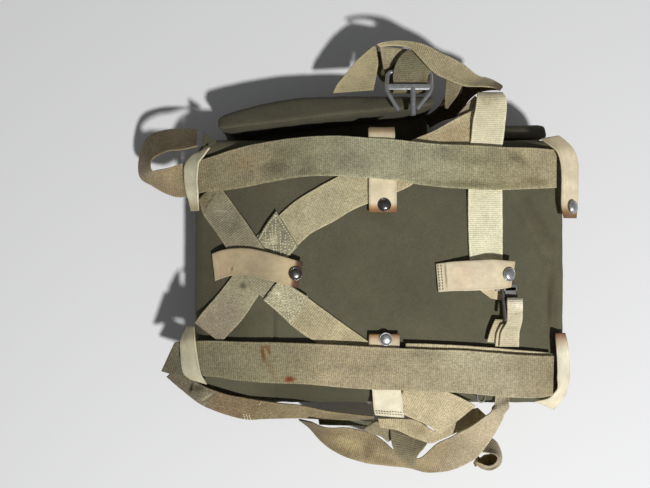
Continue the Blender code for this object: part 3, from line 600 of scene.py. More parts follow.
# The harness ring's bent rod with its two ends at the tongue, and its tongue. Columns: x, y, z
RING_FRAME = (
    (28, 222, 117), (11, 251, 114), (14, 279, 106), (74, 279, 106), (74, 251, 114),
    (53, 224, 117),
)
RING_TONGUE = ((48, 254, 113.5), (48, 216, 116))

# The harness ring's cross bar and the friction buckle's plates and bar.
# Columns of the flat ones: centre x, y, z and size x, y, z
RING_PLATE = (42.5, 256.0, 113.8, 62, 8.4, 3.2)
BUCKLE_PLATES = (
    (172, -22, 131.4, 30, 10, 2.4),
    (178, -28, 131.4, 16, 14, 2.4),
)
BUCKLE_BAR = ((166.5, -22, 131.8), (166.5, -66, 145.0))

# Small ring beside the ribbed strap
SMALL_RING_CENTRE = (141, -173, 121.0)

# Colour of each band along its length. Columns: share of the length, red, green, blue
TONES = {
    "upper_wide_strap": (
        (0.0, 150, 132, 100), (0.08, 130, 116, 88), (0.14, 134, 120, 91), (0.19, 148, 132, 101),
        (0.24, 156, 139, 108), (0.3, 142, 132, 103), (0.4, 148, 137, 108), (0.5, 148, 143, 113),
        (0.6, 176, 171, 140), (0.76, 172, 166, 134), (0.88, 164, 154, 121), (1.0, 166, 154, 122),
    ),
    "riser_strap": (
        (0.0, 208, 190, 154), (0.05, 210, 193, 158), (0.09, 231, 225, 191), (0.45, 230, 223, 190),
        (0.7, 228, 218, 184), (1.0, 223, 213, 177),
    ),
    "rising_diagonal_strap": (
        (0.0, 197, 184, 145), (0.2, 191, 175, 138), (0.4, 192, 182, 145), (0.62, 187, 176, 141),
        (0.8, 168, 161, 130), (1.0, 147, 135, 113),
    ),
    "falling_diagonal_strap": (
        (0.0, 141, 133, 105), (0.3, 148, 138, 114), (0.5, 159, 152, 124), (0.7, 180, 168, 132),
        (0.85, 187, 174, 138), (1.0, 183, 172, 134),
    ),
    "rising_stitched_end": (
        (0.0, 160, 153, 124), (1.0, 152, 148, 120),
    ),
    "falling_stitched_end": (
        (0.0, 175, 168, 136), (0.5, 186, 178, 146), (1.0, 172, 164, 134),
    ),
    "lower_wide_strap": (
        (0.0, 104, 97, 79), (0.1, 128, 121, 95), (0.3, 138, 130, 102), (0.45, 168, 154, 123),
        (0.7, 168, 157, 126), (0.88, 171, 160, 132), (1.0, 150, 137, 108),
    ),
    "lower_strap_layer": (
        (0.0, 186, 174, 140), (1.0, 196, 184, 150),
    ),
    "low_left_strap": (
        (0.0, 132, 121, 97), (0.1, 130, 119, 95), (0.16, 128, 119, 96), (0.22, 124, 116, 93),
        (0.26, 122, 104, 78), (0.5, 132, 118, 86), (0.75, 147, 132, 97), (1.0, 124, 113, 86),
    ),
    "ribbed_strap": (
        (0.0, 188, 175, 139), (1.0, 196, 181, 146),
    ),
    "long_twisted_strap": (
        (0.0, 173, 162, 136), (0.22, 186, 171, 140), (0.36, 175, 160, 131), (0.5, 142, 126, 97),
        (0.62, 155, 139, 107), (0.8, 150, 134, 102), (0.92, 128, 112, 83), (1.0, 110, 97, 73),
    ),
    "short_band": (
        (0.0, 176, 162, 128), (1.0, 186, 172, 138),
    ),
    "curl_band": (
        (0.0, 128, 119, 94), (1.0, 150, 138, 108),
    ),
    "fold_piece": (
        (0.0, 138, 127, 102), (1.0, 150, 138, 112),
    ),
    "end_loop": (
        (0.0, 156, 143, 116), (0.3, 160, 147, 122), (0.52, 170, 157, 130), (0.62, 168, 150, 112),
        (1.0, 150, 132, 98),
    ),
    "top_left_leg": (
        (0.0, 156, 144, 112), (0.5, 164, 152, 119), (1.0, 150, 138, 108),
    ),
    "top_fold": (
        (0.0, 158, 148, 119), (1.0, 135, 125, 97),
    ),
    "ring_web": (
        (0.0, 92, 84, 62), (0.5, 100, 92, 70), (0.58, 120, 112, 88), (0.8, 124, 118, 92),
        (1.0, 118, 111, 86),
    ),
    # top_right_arc: from 0.58 of its length on, the tail that folds back under the arc is painted dark
    # brown as painted shade; it is the same webbing.
    "top_right_arc": (
        (0.0, 195, 181, 144), (0.1, 183, 169, 132), (0.26, 167, 155, 122), (0.44, 181, 168, 131),
        (0.54, 166, 154, 120), (0.58, 78, 68, 50), (1.0, 54, 47, 34),
    ),
    "top_right_leg": (
        (0.0, 128, 118, 92), (1.0, 118, 108, 84),
    ),
    "small_fold": (
        (0.0, 160, 149, 124), (1.0, 152, 140, 114),
    ),
    # buckle_tail_top: the bright tone at 0.75 of its length is a painted highlight on the top of the
    # roll, and the darker end is painted shade where the tail turns under.
    "buckle_tail_top": (
        (0.0, 198, 186, 155), (0.5, 205, 195, 165), (0.75, 223, 213, 187), (1.0, 144, 132, 106),
    ),
    "buckle_tail_middle": (
        (0.0, 202, 190, 157), (1.0, 190, 177, 143),
    ),
    "buckle_tail_lower": (
        (0.0, 202, 190, 157), (1.0, 182, 168, 134),
    ),
    "edge_strip": (
        (0.0, 105, 104, 88), (1.0, 105, 104, 88),
    ),
    "canvas_ear": (
        (0.0, 87, 86, 66), (1.0, 80, 78, 60),
    ),
    "middle_keeper": (
        (0.0, 226, 208, 170), (0.05, 214, 190, 150), (0.22, 204, 182, 144), (0.3, 184, 166, 130),
        (0.6, 178, 162, 128), (0.82, 206, 186, 146), (0.91, 214, 188, 146), (0.95, 100, 66, 40),
        (1.0, 84, 50, 28),
    ),
    "right_keeper": (
        (0.0, 236, 222, 188), (0.3, 240, 222, 186), (0.5, 238, 222, 188), (0.8, 232, 216, 180),
        (1.0, 222, 202, 164),
    ),
    "upper_tab": (
        (0.0, 128, 84, 50), (0.05, 190, 146, 98), (0.1, 250, 234, 196), (0.75, 250, 236, 198),
        (0.88, 246, 228, 188), (0.93, 168, 138, 104), (0.96, 226, 200, 160), (1.0, 236, 216, 178),
    ),
    "lower_tab": (
        (0.0, 240, 230, 200), (0.8, 236, 226, 194), (0.93, 214, 190, 150), (1.0, 140, 98, 60),
    ),
    "corner_keeper_upper_left": (
        (0.0, 204, 193, 158), (0.3, 242, 234, 199), (0.8, 248, 239, 204), (1.0, 177, 163, 128),
    ),
    "corner_keeper_lower_left": (
        (0.0, 174, 162, 130), (0.25, 204, 195, 162), (0.8, 213, 205, 176), (1.0, 204, 193, 160),
    ),
    "corner_keeper_upper_right": (
        (0.0, 120, 84, 54), (0.07, 160, 124, 86), (0.14, 226, 206, 172), (0.25, 236, 222, 188),
        (0.7, 228, 213, 179), (1.0, 208, 192, 156),
    ),
    "corner_keeper_lower_right": (
        (0.0, 116, 80, 55), (0.12, 206, 187, 158), (0.25, 248, 239, 212), (0.8, 244, 233, 204),
        (1.0, 233, 220, 189),
    ),
}

# Stains and wear on each band, with some painted shade and painted highlights. Columns: x and y
# of the middle, half length, half width, turn of the length, red, green, blue, strength
STAINS_AND_PAINTED_LIGHT = {
    "lower_wide_strap": (
        (-159, -114, 11, 2.2, 102, 104, 64, 26, 1.0), (-151, -108, 6, 2.0, 100, 108, 70, 32, 0.9),
        (-156, -103, 2.2, 6, 100, 112, 74, 36, 0.8),
        (-149, -132, 14, 4.0, 116, 124, 100, 66, 0.5),
        (-123, -148, 7.0, 4.4, 0, 112, 56, 30, 0.95), (-20, -130, 60, 8, 2, 138, 128, 102, 0.35),
        (60, -112, 40, 6, 2, 128, 120, 100, 0.4), (118, -118, 46, 14, 0, 184, 176, 148, 0.4),
        (195, -130, 22, 18, 0, 152, 138, 110, 0.4), (-250, -128, 26, 30, 0, 112, 104, 82, 0.3),
        (-218, -146, 16, 18, 0, 124, 116, 90, 0.35),
    ),
    "upper_wide_strap": (
        (-142, 142, 20, 12, 10, 96, 88, 66, 0.55), (-128, 164, 16, 10, 0, 104, 96, 74, 0.4),
        (-186, 150, 12, 10, 0, 152, 132, 98, 0.5), (-100, 136, 12, 5, 0, 104, 96, 74, 0.45),
        (-35, 150, 26, 14, 0, 132, 127, 104, 0.5), (26, 158, 30, 14, 0, 168, 163, 136, 0.45),
        (60, 128, 40, 8, -6, 170, 162, 132, 0.45), (86, 162, 22, 10, 0, 122, 116, 94, 0.5),
        (130, 150, 34, 8, 0, 136, 130, 100, 0.45), (188, 154, 16, 7, -30, 96, 88, 66, 0.55),
        (112, 118, 60, 5, -2, 118, 112, 84, 0.6), (214, 122, 24, 6, 0, 122, 108, 78, 0.5),
        (-228, 112, 34, 4, 6, 150, 138, 108, 0.5),
    ),
    "falling_diagonal_strap": (
        (-212, 76, 22, 14, -40, 142, 136, 116, 0.5), (-200, 60, 16, 10, 60, 120, 114, 92, 0.5),
        (-235, 95, 17, 0.9, 57, 70, 62, 44, 0.85), (-244, 98, 12, 9, 57, 128, 114, 84, 0.7),
        (-216, 82, 11, 0.7, 0, 186, 180, 150, 0.7), (-216, 70, 9, 0.8, 50, 180, 174, 144, 0.6),
        (-204, 66, 12, 0.6, 68, 176, 170, 138, 0.5),
    ),
    "rising_diagonal_strap": (
        (-210, -58, 18, 16, 50, 142, 130, 112, 0.6), (-196, -76, 14, 10, 50, 158, 148, 122, 0.5),
        (-172, -14, 10, 10, 50, 132, 124, 98, 0.4), (-180, -1, 7, 8, 0, 86, 84, 58, 0.7),
        (106, 190, 22, 12, 20, 160, 136, 100, 0.5), (-187, -20, 5, 5, 30, 84, 82, 60, 0.7),
    ),
    # low_left_strap: the thin dark line beside the pale line is a painted shadow, and the near-black
    # spot near its left end is painted shade seen through a hole in the strap.
    "low_left_strap": (
        (-251, -164, 8, 5, 20, 84, 74, 56, 0.75), (-239, -176, 15, 1.4, 37, 176, 168, 138, 0.75),
        (-236, -178.5, 14, 1.0, 37, 84, 74, 54, 0.6), (-188, -196, 34, 14, -8, 132, 112, 84, 0.5),
        (-262, -165, 2.2, 7.5, -22, 22, 18, 13, 1.0),
    ),
    "riser_strap": (
        (158, 20, 10, 6, 0, 226, 214, 176, 0.5), (154, 236, 14, 8, 0, 190, 176, 140, 0.5),
    ),
    "ring_web": (
        (62, 262, 9, 9, 0, 96, 84, 58, 0.5),
    ),
    "short_band": (
        (62, -228, 10, 8, 0, 150, 132, 98, 0.5),
    ),
    "long_twisted_strap": (
        (60, -282, 26, 16, 10, 176, 158, 116, 0.6), (-40, -258, 24, 9, -20, 186, 168, 122, 0.6),
        (-10, -270, 9, 14, 10, 112, 98, 68, 0.55), (14, -284, 22, 7, -14, 118, 104, 74, 0.5),
        (-52, -272, 14, 6, -30, 128, 114, 82, 0.5), (95, -262, 14, 10, 0, 176, 152, 112, 0.5),
    ),
    "end_loop": (
        (178, -300, 10, 6, 0, 96, 84, 60, 0.6),
    ),
    "rising_stitched_end": (
        (-146, 42, 14, 5, 50, 206, 196, 160, 0.7), (-130, 50, 14, 6, 62, 128, 128, 108, 0.7),
    ),
    "falling_stitched_end": (
        (-137, -31, 9, 3, -50, 226, 218, 188, 0.75), (-126, -48, 10, 5, -50, 196, 190, 158, 0.6),
        (-133, -66, 8, 5, 0, 148, 146, 118, 0.6),
    ),
    "middle_keeper": (
        (-200.6, 2.7, 5, 0.8, 75, 84, 62, 40, 0.9), (-222, 6, 1.2, 17, 8, 240, 226, 190, 0.7),
    ),
    "right_keeper": (
        (89.4, -5.5, 0.7, 17, 4, 120, 104, 78, 0.8), (81, -18, 1.2, 1.2, 0, 40, 32, 22, 0.9),
        (110, -4, 16, 12, 0, 248, 222, 184, 0.5),
    ),
    # buckle_tail_top: the thin dark line between the roll and the lower tail is painted shade, the
    # pale patch is a painted highlight on the roll, and the faint dark line below it is painted shade
    # in a fold.
    "buckle_tail_top": (
        (186, -56.2, 11, 0.8, 3, 112, 98, 72, 0.9),
        (184.7, -44.8, 11, 5.5, 0, 244, 236, 212, 0.7),
        (184.7, -75, 10, 0.6, 5, 156, 142, 112, 0.55),
    ),
    "lower_tab": (
        (8, -195, 16, 1.0, 0, 150, 124, 84, 0.5),
    ),
    "corner_keeper_upper_left": (
        (-252, 60, 5, 2, 80, 84, 74, 56, 0.8),
    ),
}

# Soft creases in the pack's top. Columns: x and y of both ends, half width, depth
PACK_CREASES = (
    (184, 112, 236, 10, 8, 3.0), (200, 100, 250, 20, 9, -2.2), (238, 8, 246, -82, 6, 3.4),
    (226, 10, 232, -80, 8, -1.8), (256, 10, 254, -90, 6, -1.6), (-143, -30, -143, -190, 2.5, 1.0),
    (-60, 60, 40, 30, 14, 0.6), (60, -60, 180, -90, 12, 0.6), (-40, 100, 60, 70, 16, 0.5),
)

# Soft changes of colour on the pack's canvas. Columns: x and y of the middle, half length,
# half width, turn of the length, red, green, blue, strength
PACK_MARKS = (
    (-230, 0, 30, 130, 0, 82, 78, 60, 0.8), (-195, 80, 60, 46, 0, 84, 81, 64, 0.7),
    (-205, -70, 40, 34, 0, 74, 72, 52, 0.6), (-143, -110, 2.2, 80, 0, 66, 64, 50, 0.6),
    (-138, -150, 3, 44, 0, 108, 106, 90, 0.4), (240, -36, 5, 42, -4, 74, 66, 50, 0.6),
    (226, 60, 7, 46, 30, 84, 78, 60, 0.45), (258, -36, 5, 40, 0, 110, 104, 84, 0.4),
    (-60, 60, 90, 30, 10, 94, 91, 73, 0.4), (120, 60, 80, 70, 0, 98, 93, 75, 0.4),
    (20, -30, 120, 40, 0, 94, 90, 72, 0.5), (-90, -172, 110, 30, 0, 78, 75, 58, 0.85),
)

# Rows of stitches: band, legs, thread. Each leg: run and place across of both ends
SEWING = {
    "thread_rising_end": ("rising_stitched_end", (
        (2.5, -0.9, 2.5, 0.9), (2.5, -0.9, 60, -0.9), (2.5, 0.9, 60, 0.9), (3, -0.9, 46, 0.9),
        (3, 0.9, 46, -0.9), (46, -0.9, 46, 0.9), (42, -0.85, 22, 0.7), (40, -0.4, 14, 0.75),
        (34, -0.85, 10, 0.2), (26, -0.85, 6, -0.1), (44, 0.2, 26, 0.85), (12, -0.8, 30, -0.5),
        (18, 0.1, 36, 0.6),
    ), "pale_thread"),
    "thread_falling_end": ("falling_stitched_end", (
        (3, -0.88, 3, 0.88), (3, -0.88, 46, -0.88), (3, 0.88, 46, 0.88), (4, -0.88, 44, 0.88),
        (4, 0.88, 44, -0.88), (44, -0.88, 44, 0.88), (48, -0.88, 48, 0.88), (8, -0.7, 30, 0.6),
        (14, -0.8, 40, 0.5), (6, 0.5, 26, -0.6), (20, 0.8, 42, -0.3), (10, 0.1, 24, 0.85),
        (30, -0.85, 42, -0.4),
    ), "pale_thread"),
    "thread_right_keeper": ("right_keeper", (
        (2.5, -0.9, 2.5, 0.9), (6.5, -0.9, 6.5, 0.9),
    ), "dark_thread"),
    "thread_lower_tab": ("lower_tab", (
        (4, -0.92, 4, 0.92), (8, -0.92, 8, 0.92),
    ), "dark_thread"),
    "thread_low_left": ("low_left_strap", (
        (124, 0.45, 128, 0.92), (128, 0.4, 132, 0.92), (132, 0.45, 136, 0.9),
        (142, -0.6, 145, -0.92),
    ), "pale_thread"),
}


def linear(colour):
    """Linear red, green, blue from display values."""
    share = np.asarray(colour, dtype=float) / 255
    return np.where(share <= 0.04045, share / 12.92, ((share + 0.055) / 1.055) ** 2.4)


def grain(point, size, seed=0.0):
    """Smooth noise from -1 to 1 with lumps of a size in millimetres."""
    x, y, z = (value / size for value in point)
    return noise.noise(Vector((x + seed, y - seed, z + 0.5 * seed)))


def turned(dx, dy, turn):
    """A step in plan, measured along and across a turned length."""
    c = math.cos(math.radians(turn))
    s = math.sin(math.radians(turn))
    return dx * c + dy * s, -dx * s + dy * c


def fine_rows(rows, step):
    """Stations closer than a step, on a smooth curve through the table's rows."""
    spans = [math.dist(a[:3], b[:3]) for a, b in zip(rows, rows[1:])]
    slopes = []
    for index, row in enumerate(rows):
        if index == 0:
            slope = [(b - a) / spans[0] for a, b in zip(rows[0], rows[1])]
        elif index == len(rows) - 1:
            slope = [(b - a) / spans[-1] for a, b in zip(rows[-2], rows[-1])]
        else:
            before = spans[index - 1]
            behind = spans[index]
            slope = []
            for a, b, c in zip(rows[index - 1], row, rows[index + 1]):
                rise = (b - a) / before * behind + (c - b) / behind * before
                slope.append(rise / (before + behind))
        slopes.append(slope)
    out = []
    for index, span in enumerate(spans):
        steps = max(2, math.ceil(span / step))
        for number in range(steps):
            t = number / steps
            h0 = 2 * t ** 3 - 3 * t ** 2 + 1
            h1 = t ** 3 - 2 * t ** 2 + t
            h2 = 3 * t ** 2 - 2 * t ** 3
            h3 = t ** 3 - t ** 2
            out.append([
                h0 * a + h1 * span * m + h2 * b + h3 * span * n
                for a, b, m, n in zip(rows[index], rows[index + 1], slopes[index], slopes[index + 1])
            ])
    out.append(list(rows[-1]))
    return np.array(out)


class Lay:
    """How a band lies: its middle line, width line, width, face and run at each station."""

    def __init__(self, rows, step):
        stations = fine_rows(rows, step)
        self.middle = stations[:, :3]
        turn = np.radians(stations[:, 3])
        tilt = np.radians(stations[:, 4])
        level = np.cos(tilt)
        self.across = np.stack([np.cos(turn) * level, np.sin(turn) * level, np.sin(tilt)], axis=1)
        self.width = stations[:, 5]
        along = np.empty_like(self.middle)
        along[1:-1] = self.middle[2:] - self.middle[:-2]
        along[0] = self.middle[1] - self.middle[0]
        along[-1] = self.middle[-1] - self.middle[-2]
        along = along / np.linalg.norm(along, axis=1)[:, None]
        face = np.cross(along, self.across)
        self.face = face / np.linalg.norm(face, axis=1)[:, None]
        legs = np.linalg.norm(np.diff(self.middle, axis=0), axis=1)
        self.run = np.concatenate([[0.0], np.cumsum(legs)])
        self.length = self.run[-1]

    def at(self, run, side):
        """Point and face way at a run and a place across from -1 to 1."""
        index = int(np.clip(np.searchsorted(self.run, run) - 1, 0, len(self.run) - 2))
        share = (run - self.run[index]) / max(self.run[index + 1] - self.run[index], 1e-6)

        def between(values):
            return values[index] * (1 - share) + values[index + 1] * share

        point = between(self.middle) + between(self.across) * between(self.width) / 2 * side
        return point, between(self.face)


def paint(mesh, tones):
    """Stores the linear colour of each point, from display values."""
    layer = mesh.color_attributes.new(name="tone", type="FLOAT_COLOR", domain="POINT")
    full = np.ones((len(tones), 4))
    full[:, :3] = linear(np.clip(tones, 0, 255))
    layer.data.foreach_set("color", full.ravel())


def new_piece(name, points, faces, uvs=None, tones=None):
    """Mesh piece from points in millimetres, with its cloth map and its colour at each point."""
    mesh = bpy.data.meshes.new(name)
    mesh.from_pydata((np.asarray(points) * MM).tolist(), [], faces)
    mesh.update()
    if uvs is not None:
        layer = mesh.uv_layers.new(name="cloth")
        corners = np.empty(len(mesh.loops), dtype=np.int32)
        mesh.loops.foreach_get("vertex_index", corners)
        layer.data.foreach_set("uv", (np.asarray(uvs) * MM)[corners].ravel())
    if tones is not None:
        paint(mesh, tones)
    mesh.polygons.foreach_set("use_smooth", [True] * len(mesh.polygons))
    item = bpy.data.objects.new(name, mesh)
    bpy.context.scene.collection.objects.link(item)
    return item


def face_outwards(item):
    """Turns every face outwards."""
    data = bmesh.new()
    data.from_mesh(item.data)
    bmesh.ops.recalc_face_normals(data, faces=data.faces[:])
    data.to_mesh(item.data)
    data.free()


def band_tone(name, share, point):
    """Colour of one point of a band, with its stains, its painted shade and highlights, and its uneven
    wear.
    """
    table = TONES[name]
    for first, second in zip(table, table[1:]):
        if share <= second[0] or second is table[-1]:
            t = min(max((share - first[0]) / max(second[0] - first[0], 1e-6), 0.0), 1.0)
            colour = [a * (1 - t) + b * t for a, b in zip(first[1:], second[1:])]
            break
    for x, y, reach, breadth, turn, red, green, blue, strength in STAINS_AND_PAINTED_LIGHT.get(name, ()):
        along, across = turned(point[0] - x, point[1] - y, turn)
        u = along / reach
        v = across / breadth
        ragged = 1.0 + 0.35 * grain(point, 5.0, 3.0) + 0.25 * grain(point, 2.2, 9.0)
        weight = strength * math.exp(-((u * u + v * v) * ragged) ** 1.5)
        colour = [a * (1 - weight) + b * weight for a, b in zip(colour, (red, green, blue))]
    patch = 1.0 + 0.05 * grain(point, 42.0, 1.0) + 0.05 * grain(point, 16.0, 5.0)
    patch += 0.035 * grain(point, 6.0, 7.0)
    return np.array(colour) * patch


def ragged_edges(run, fray):
    """How far the left and right edge wander at a run, in millimetres."""
    place = (run, 0.0, 0.0)
    left = fray * (0.6 * grain(place, 9.0, 11.0) + 0.5 * grain(place, 3.0, 13.0))
    right = fray * (0.6 * grain(place, 9.0, 17.0) + 0.5 * grain(place, 3.0, 19.0))
    return left, right


def band(name, rows, thickness, step=STATION_STEP, lumps=0.35, fray=0.35, edge=1.06):
    """Cloth or leather band with round edges, a slightly uneven face and its colour, and its lay."""
    lay = Lay(rows, step)
    mean = float(np.mean(lay.width))
    inner_edge = 1 - 2 * BAND_INNER_EDGE / mean
    inner = np.linspace(-inner_edge, inner_edge, max(BAND_LEAST, int(mean / BAND_PITCH)))
    rim = [1 - 2 * r / mean for r in BAND_RIM]
    sides = [-side for side in rim] + list(inner) + rim[::-1]
    half = thickness / 2
    heights = []
    for side in sides:
        inside = max(half - (1 - abs(side)) * mean / 2, 0.0) / half
        heights.append(half * math.sqrt(max(1 - inside * inside, 0.0)))
    around = sides + sides[-2:0:-1]
    points = []
    uvs = []
    tones = []
    for middle, across, face, width, run in zip(lay.middle, lay.across, lay.face, lay.width, lay.run):
        left, right = ragged_edges(run, fray)
        tops = []
        lows = []
        for side, height in zip(sides, heights):
            base = middle + across * (side * width / 2 + left * max(-side, 0) + right * max(side, 0))
            rise = lumps * (grain(base, 26.0, 2.0) + 0.5 * grain(base, 11.0, 4.0))
            tops.append(base + face * (rise + height))
            lows.append(base + face * (rise - height))
        loop = tops + lows[-2:0:-1]
        points.extend(loop)
        for point, side in zip(loop, around):
            far = (1 - abs(side)) * width / 2
            wear = 1 + (edge - 1) * math.exp(-((far - WEAR_PLACE) / WEAR_WIDTH) ** 2)
            tones.append(band_tone(name, run / lay.length, point) * wear)
            uvs.append(((side + 1) * width / 2, run))
    item = new_piece(name + "_made", points, band_faces(len(lay.run), len(sides)), uvs, tones)
    face_outwards(item)
    return item, lay


def band_faces(rows, count):
    """Faces of a closed band: its skin round each row of points, and its two ends."""
    ring = 2 * count - 2
    faces = []
    for index in range(rows - 1):
        a = index * ring
        b = a + ring
        for number in range(ring):
            after = (number + 1) % ring
            faces.append((a + number, b + number, b + after, a + after))
    for base, flip in ((0, False), ((rows - 1) * ring, True)):
        for number in range(count - 1):
            low = base + (ring - number) % ring
            quad = [base + number, base + number + 1, base + ring - number - 1, low]
            if number == 0:
                quad = [base, base + 1, base + ring - 1]
            if number == count - 2:
                quad = [base + count - 2, base + count - 1, base + count]
            faces.append(tuple(reversed(quad)) if flip else tuple(quad))
    return faces


# Finishes

def blank_finish(name, roughness, metallic=0.0, gloss=None):
    """New finish with its main shader, and the tree that holds it."""
    finish = bpy.data.materials.new(name)
    finish.use_nodes = True
    tree = finish.node_tree
    shader = tree.nodes["Principled BSDF"]
    shader.inputs["Roughness"].default_value = roughness
    shader.inputs["Metallic"].default_value = metallic
    if gloss is not None:
        shader.inputs["Specular IOR Level"].default_value = gloss
    return finish, tree, shader


def object_place(tree):
    """Place of a point on the object."""
    return tree.nodes.new("ShaderNodeTexCoord").outputs["Object"]


def sums(tree, operation, first, second=None, third=None):
    """Math node on sockets or plain numbers, and its result."""
    made = tree.nodes.new("ShaderNodeMath")
    made.operation = operation
    for socket, value in zip(made.inputs, (first, second, third)):
        if value is None:
            continue
        if isinstance(value, (int, float)):
            socket.default_value = value
        else:
            tree.links.new(value, socket)
    return made.outputs[0]


def spread(tree, value, from_low, from_high, low, high):
    """A value between two limits, spread from low to high."""
    made = tree.nodes.new("ShaderNodeMapRange")
    made.inputs["From Min"].default_value = from_low
    made.inputs["From Max"].default_value = from_high
    made.inputs["To Min"].default_value = low
    made.inputs["To Max"].default_value = high
    tree.links.new(value, made.inputs["Value"])
    return made.outputs["Result"]


def speckle(tree, place, size, detail, low, high):
    """Noise with lumps of a size in millimetres, spread from low to high."""
    made = tree.nodes.new("ShaderNodeTexNoise")
    made.inputs["Scale"].default_value = 1000.0 / size
    made.inputs["Detail"].default_value = detail
    made.inputs["Roughness"].default_value = 0.6
    tree.links.new(place, made.inputs["Vector"])
    return spread(tree, made.outputs["Fac"], NOISE_LOW, NOISE_HIGH, low, high)


def cells(tree, place, size, feature="F1"):
    """Distance in a pattern of cells of a size in millimetres."""
    made = tree.nodes.new("ShaderNodeTexVoronoi")
    made.feature = feature
    made.inputs["Scale"].default_value = 1000.0 / size
    tree.links.new(place, made.inputs["Vector"])
    return made.outputs["Distance"]


def scaled(tree, colour, factor):
    """Colour times a factor. Either of them may be a socket or plain."""
    made = tree.nodes.new("ShaderNodeVectorMath")
    made.operation = "SCALE"
    for value, socket in ((colour, made.inputs[0]), (factor, made.inputs["Scale"])):
        if isinstance(value, bpy.types.NodeSocket):
            tree.links.new(value, socket)
        else:
            socket.default_value = value
    return made.outputs[0]


def tinted(tree, shader, amount, *factors):
    """Base colour from the piece's own tone, times each factor."""
    tone = tree.nodes.new("ShaderNodeAttribute")
    tone.attribute_name = "tone"
    value = tone.outputs["Color"]
    for factor in (*factors, amount):
        value = scaled(tree, value, factor)
    tree.links.new(value, shader.inputs["Base Color"])


def raised(tree, shader, height, distance, strength):
    """Relief from a height."""
    bump = tree.nodes.new("ShaderNodeBump")
    bump.inputs["Distance"].default_value = distance * MM
    bump.inputs["Strength"].default_value = strength
    tree.links.new(height, bump.inputs["Height"])
    tree.links.new(bump.outputs["Normal"], shader.inputs["Normal"])


def woven_finish(name, rib, thread, stagger, contrast, depth, mottle, sheen, amount):
    """Woven cloth: ribs a pitch apart along it, threads a pitch apart across it."""
    finish, tree, shader = blank_finish(name, 0.92, gloss=0.18)
    shader.inputs["Sheen Weight"].default_value = sheen
    shader.inputs["Sheen Roughness"].default_value = 0.5
    chart = tree.nodes.new("ShaderNodeUVMap")
    chart.uv_map = "cloth"
    split = tree.nodes.new("ShaderNodeSeparateXYZ")
    tree.links.new(chart.outputs[0], split.inputs[0])
    place = object_place(tree)
    drift = speckle(tree, place, 9.0, 2.0, -0.35, 0.35)
    column = sums(tree, "MULTIPLY", split.outputs["X"], 1000.0 / thread)
    shifted = sums(tree, "MULTIPLY", sums(tree, "FLOOR", column), stagger * math.pi)
    wave = sums(tree, "MULTIPLY_ADD", split.outputs["Y"], 2000.0 * math.pi / rib, shifted)
    ribs = sums(tree, "MULTIPLY_ADD", sums(tree, "SINE", sums(tree, "ADD", wave, drift)), 0.5, 0.5)
    strand = sums(tree, "SINE", sums(tree, "MULTIPLY", sums(tree, "FRACT", column), math.pi))
    weave = sums(tree, "MULTIPLY", ribs, sums(tree, "MULTIPLY_ADD", strand, 0.6, 0.4))
    dirt = speckle(tree, place, 30.0, 6.0, 1 - mottle, 1 + mottle)
    grit = speckle(tree, place, 2.6, 2.0, 1 - mottle * 2.4, 1 + mottle * 2.2)
    shade = sums(tree, "MULTIPLY_ADD", weave, contrast, 1 - contrast * 0.42)
    tinted(tree, shader, amount, dirt, grit, shade)
    fuzz = speckle(tree, place, 1.4, 3.0, 0.0, 0.5)
    raised(tree, shader, sums(tree, "ADD", weave, fuzz), depth, 0.7)
    return finish


def leather_finish(name):
    """Pale leather with a fine grain, faint cracks and a dull gloss."""
    finish, tree, shader = blank_finish(name, 0.6, gloss=0.35)
    place = object_place(tree)
    cracks = spread(tree, cells(tree, place, 7.0, "DISTANCE_TO_EDGE"), 0.0, 0.05, 0.955, 1.0)
    dirt = speckle(tree, place, 16.0, 6.0, 0.86, 1.08)
    grit = speckle(tree, place, 2.4, 4.0, 0.95, 1.04)
    tinted(tree, shader, 1.0, dirt, grit, cracks)
    hollows = speckle(tree, place, 5.0, 5.0, 0.0, 1.0)
    raised(tree, shader, sums(tree, "MULTIPLY_ADD", cells(tree, place, 1.1), 0.5, hollows), 0.35, 0.5)
    tree.links.new(speckle(tree, place, 7.0, 4.0, 0.48, 0.72), shader.inputs["Roughness"])
    return finish


def steel_finish(name, metallic, colour, low, high, dirt_tone):
    """Worn steel with dull patches and fine scratches."""
    finish, tree, shader = blank_finish(name, 0.35, metallic)
    place = object_place(tree)
    blend = tree.nodes.new("ShaderNodeMix")
    blend.data_type = "RGBA"
    blend.inputs["A"].default_value = (*colour, 1.0)
    blend.inputs["B"].default_value = (*dirt_tone, 1.0)
    patch = speckle(tree, place, 6.0, 6.0, 0.0, 1.0)
    tree.links.new(sums(tree, "MULTIPLY", patch, 0.6), blend.inputs["Factor"])
    tree.links.new(blend.outputs["Result"], shader.inputs["Base Color"])
    tree.links.new(speckle(tree, place, 4.0, 5.0, low, high), shader.inputs["Roughness"])
    raised(tree, shader, speckle(tree, place, 0.9, 5.0, 0.0, 1.0), 0.12, 0.35)
    return finish


def thread_finish(name, colour):
    """Waxed sewing thread."""
    finish, tree, shader = blank_finish(name, 0.7)
    shade = speckle(tree, object_place(tree), 2.5, 3.0, 0.75, 1.1)
    tree.links.new(scaled(tree, tuple(linear(colour)), shade), shader.inputs["Base Color"])
    return finish


def all_finishes():
    """Every finish by its name."""
    looks = {}
    for name, values in WOVEN_FINISHES.items():
        looks[name] = woven_finish(name, *values)
    looks["cream_leather"] = leather_finish("cream_leather")
    for name, values in STEEL_FINISHES.items():
        looks[name] = steel_finish(name, *values)
    for name, colour in THREAD_COLOURS.items():
        looks[name] = thread_finish(name, colour)
    return looks


# Padded canvas

def shoulder(radius, distance):
    """Fall of the rounded edge at a distance in from the outline."""
    if distance >= radius:
        return 0.0
    inside = radius - max(distance, 0.0)
    return radius - math.sqrt(max(radius * radius - inside * inside, 0.0))


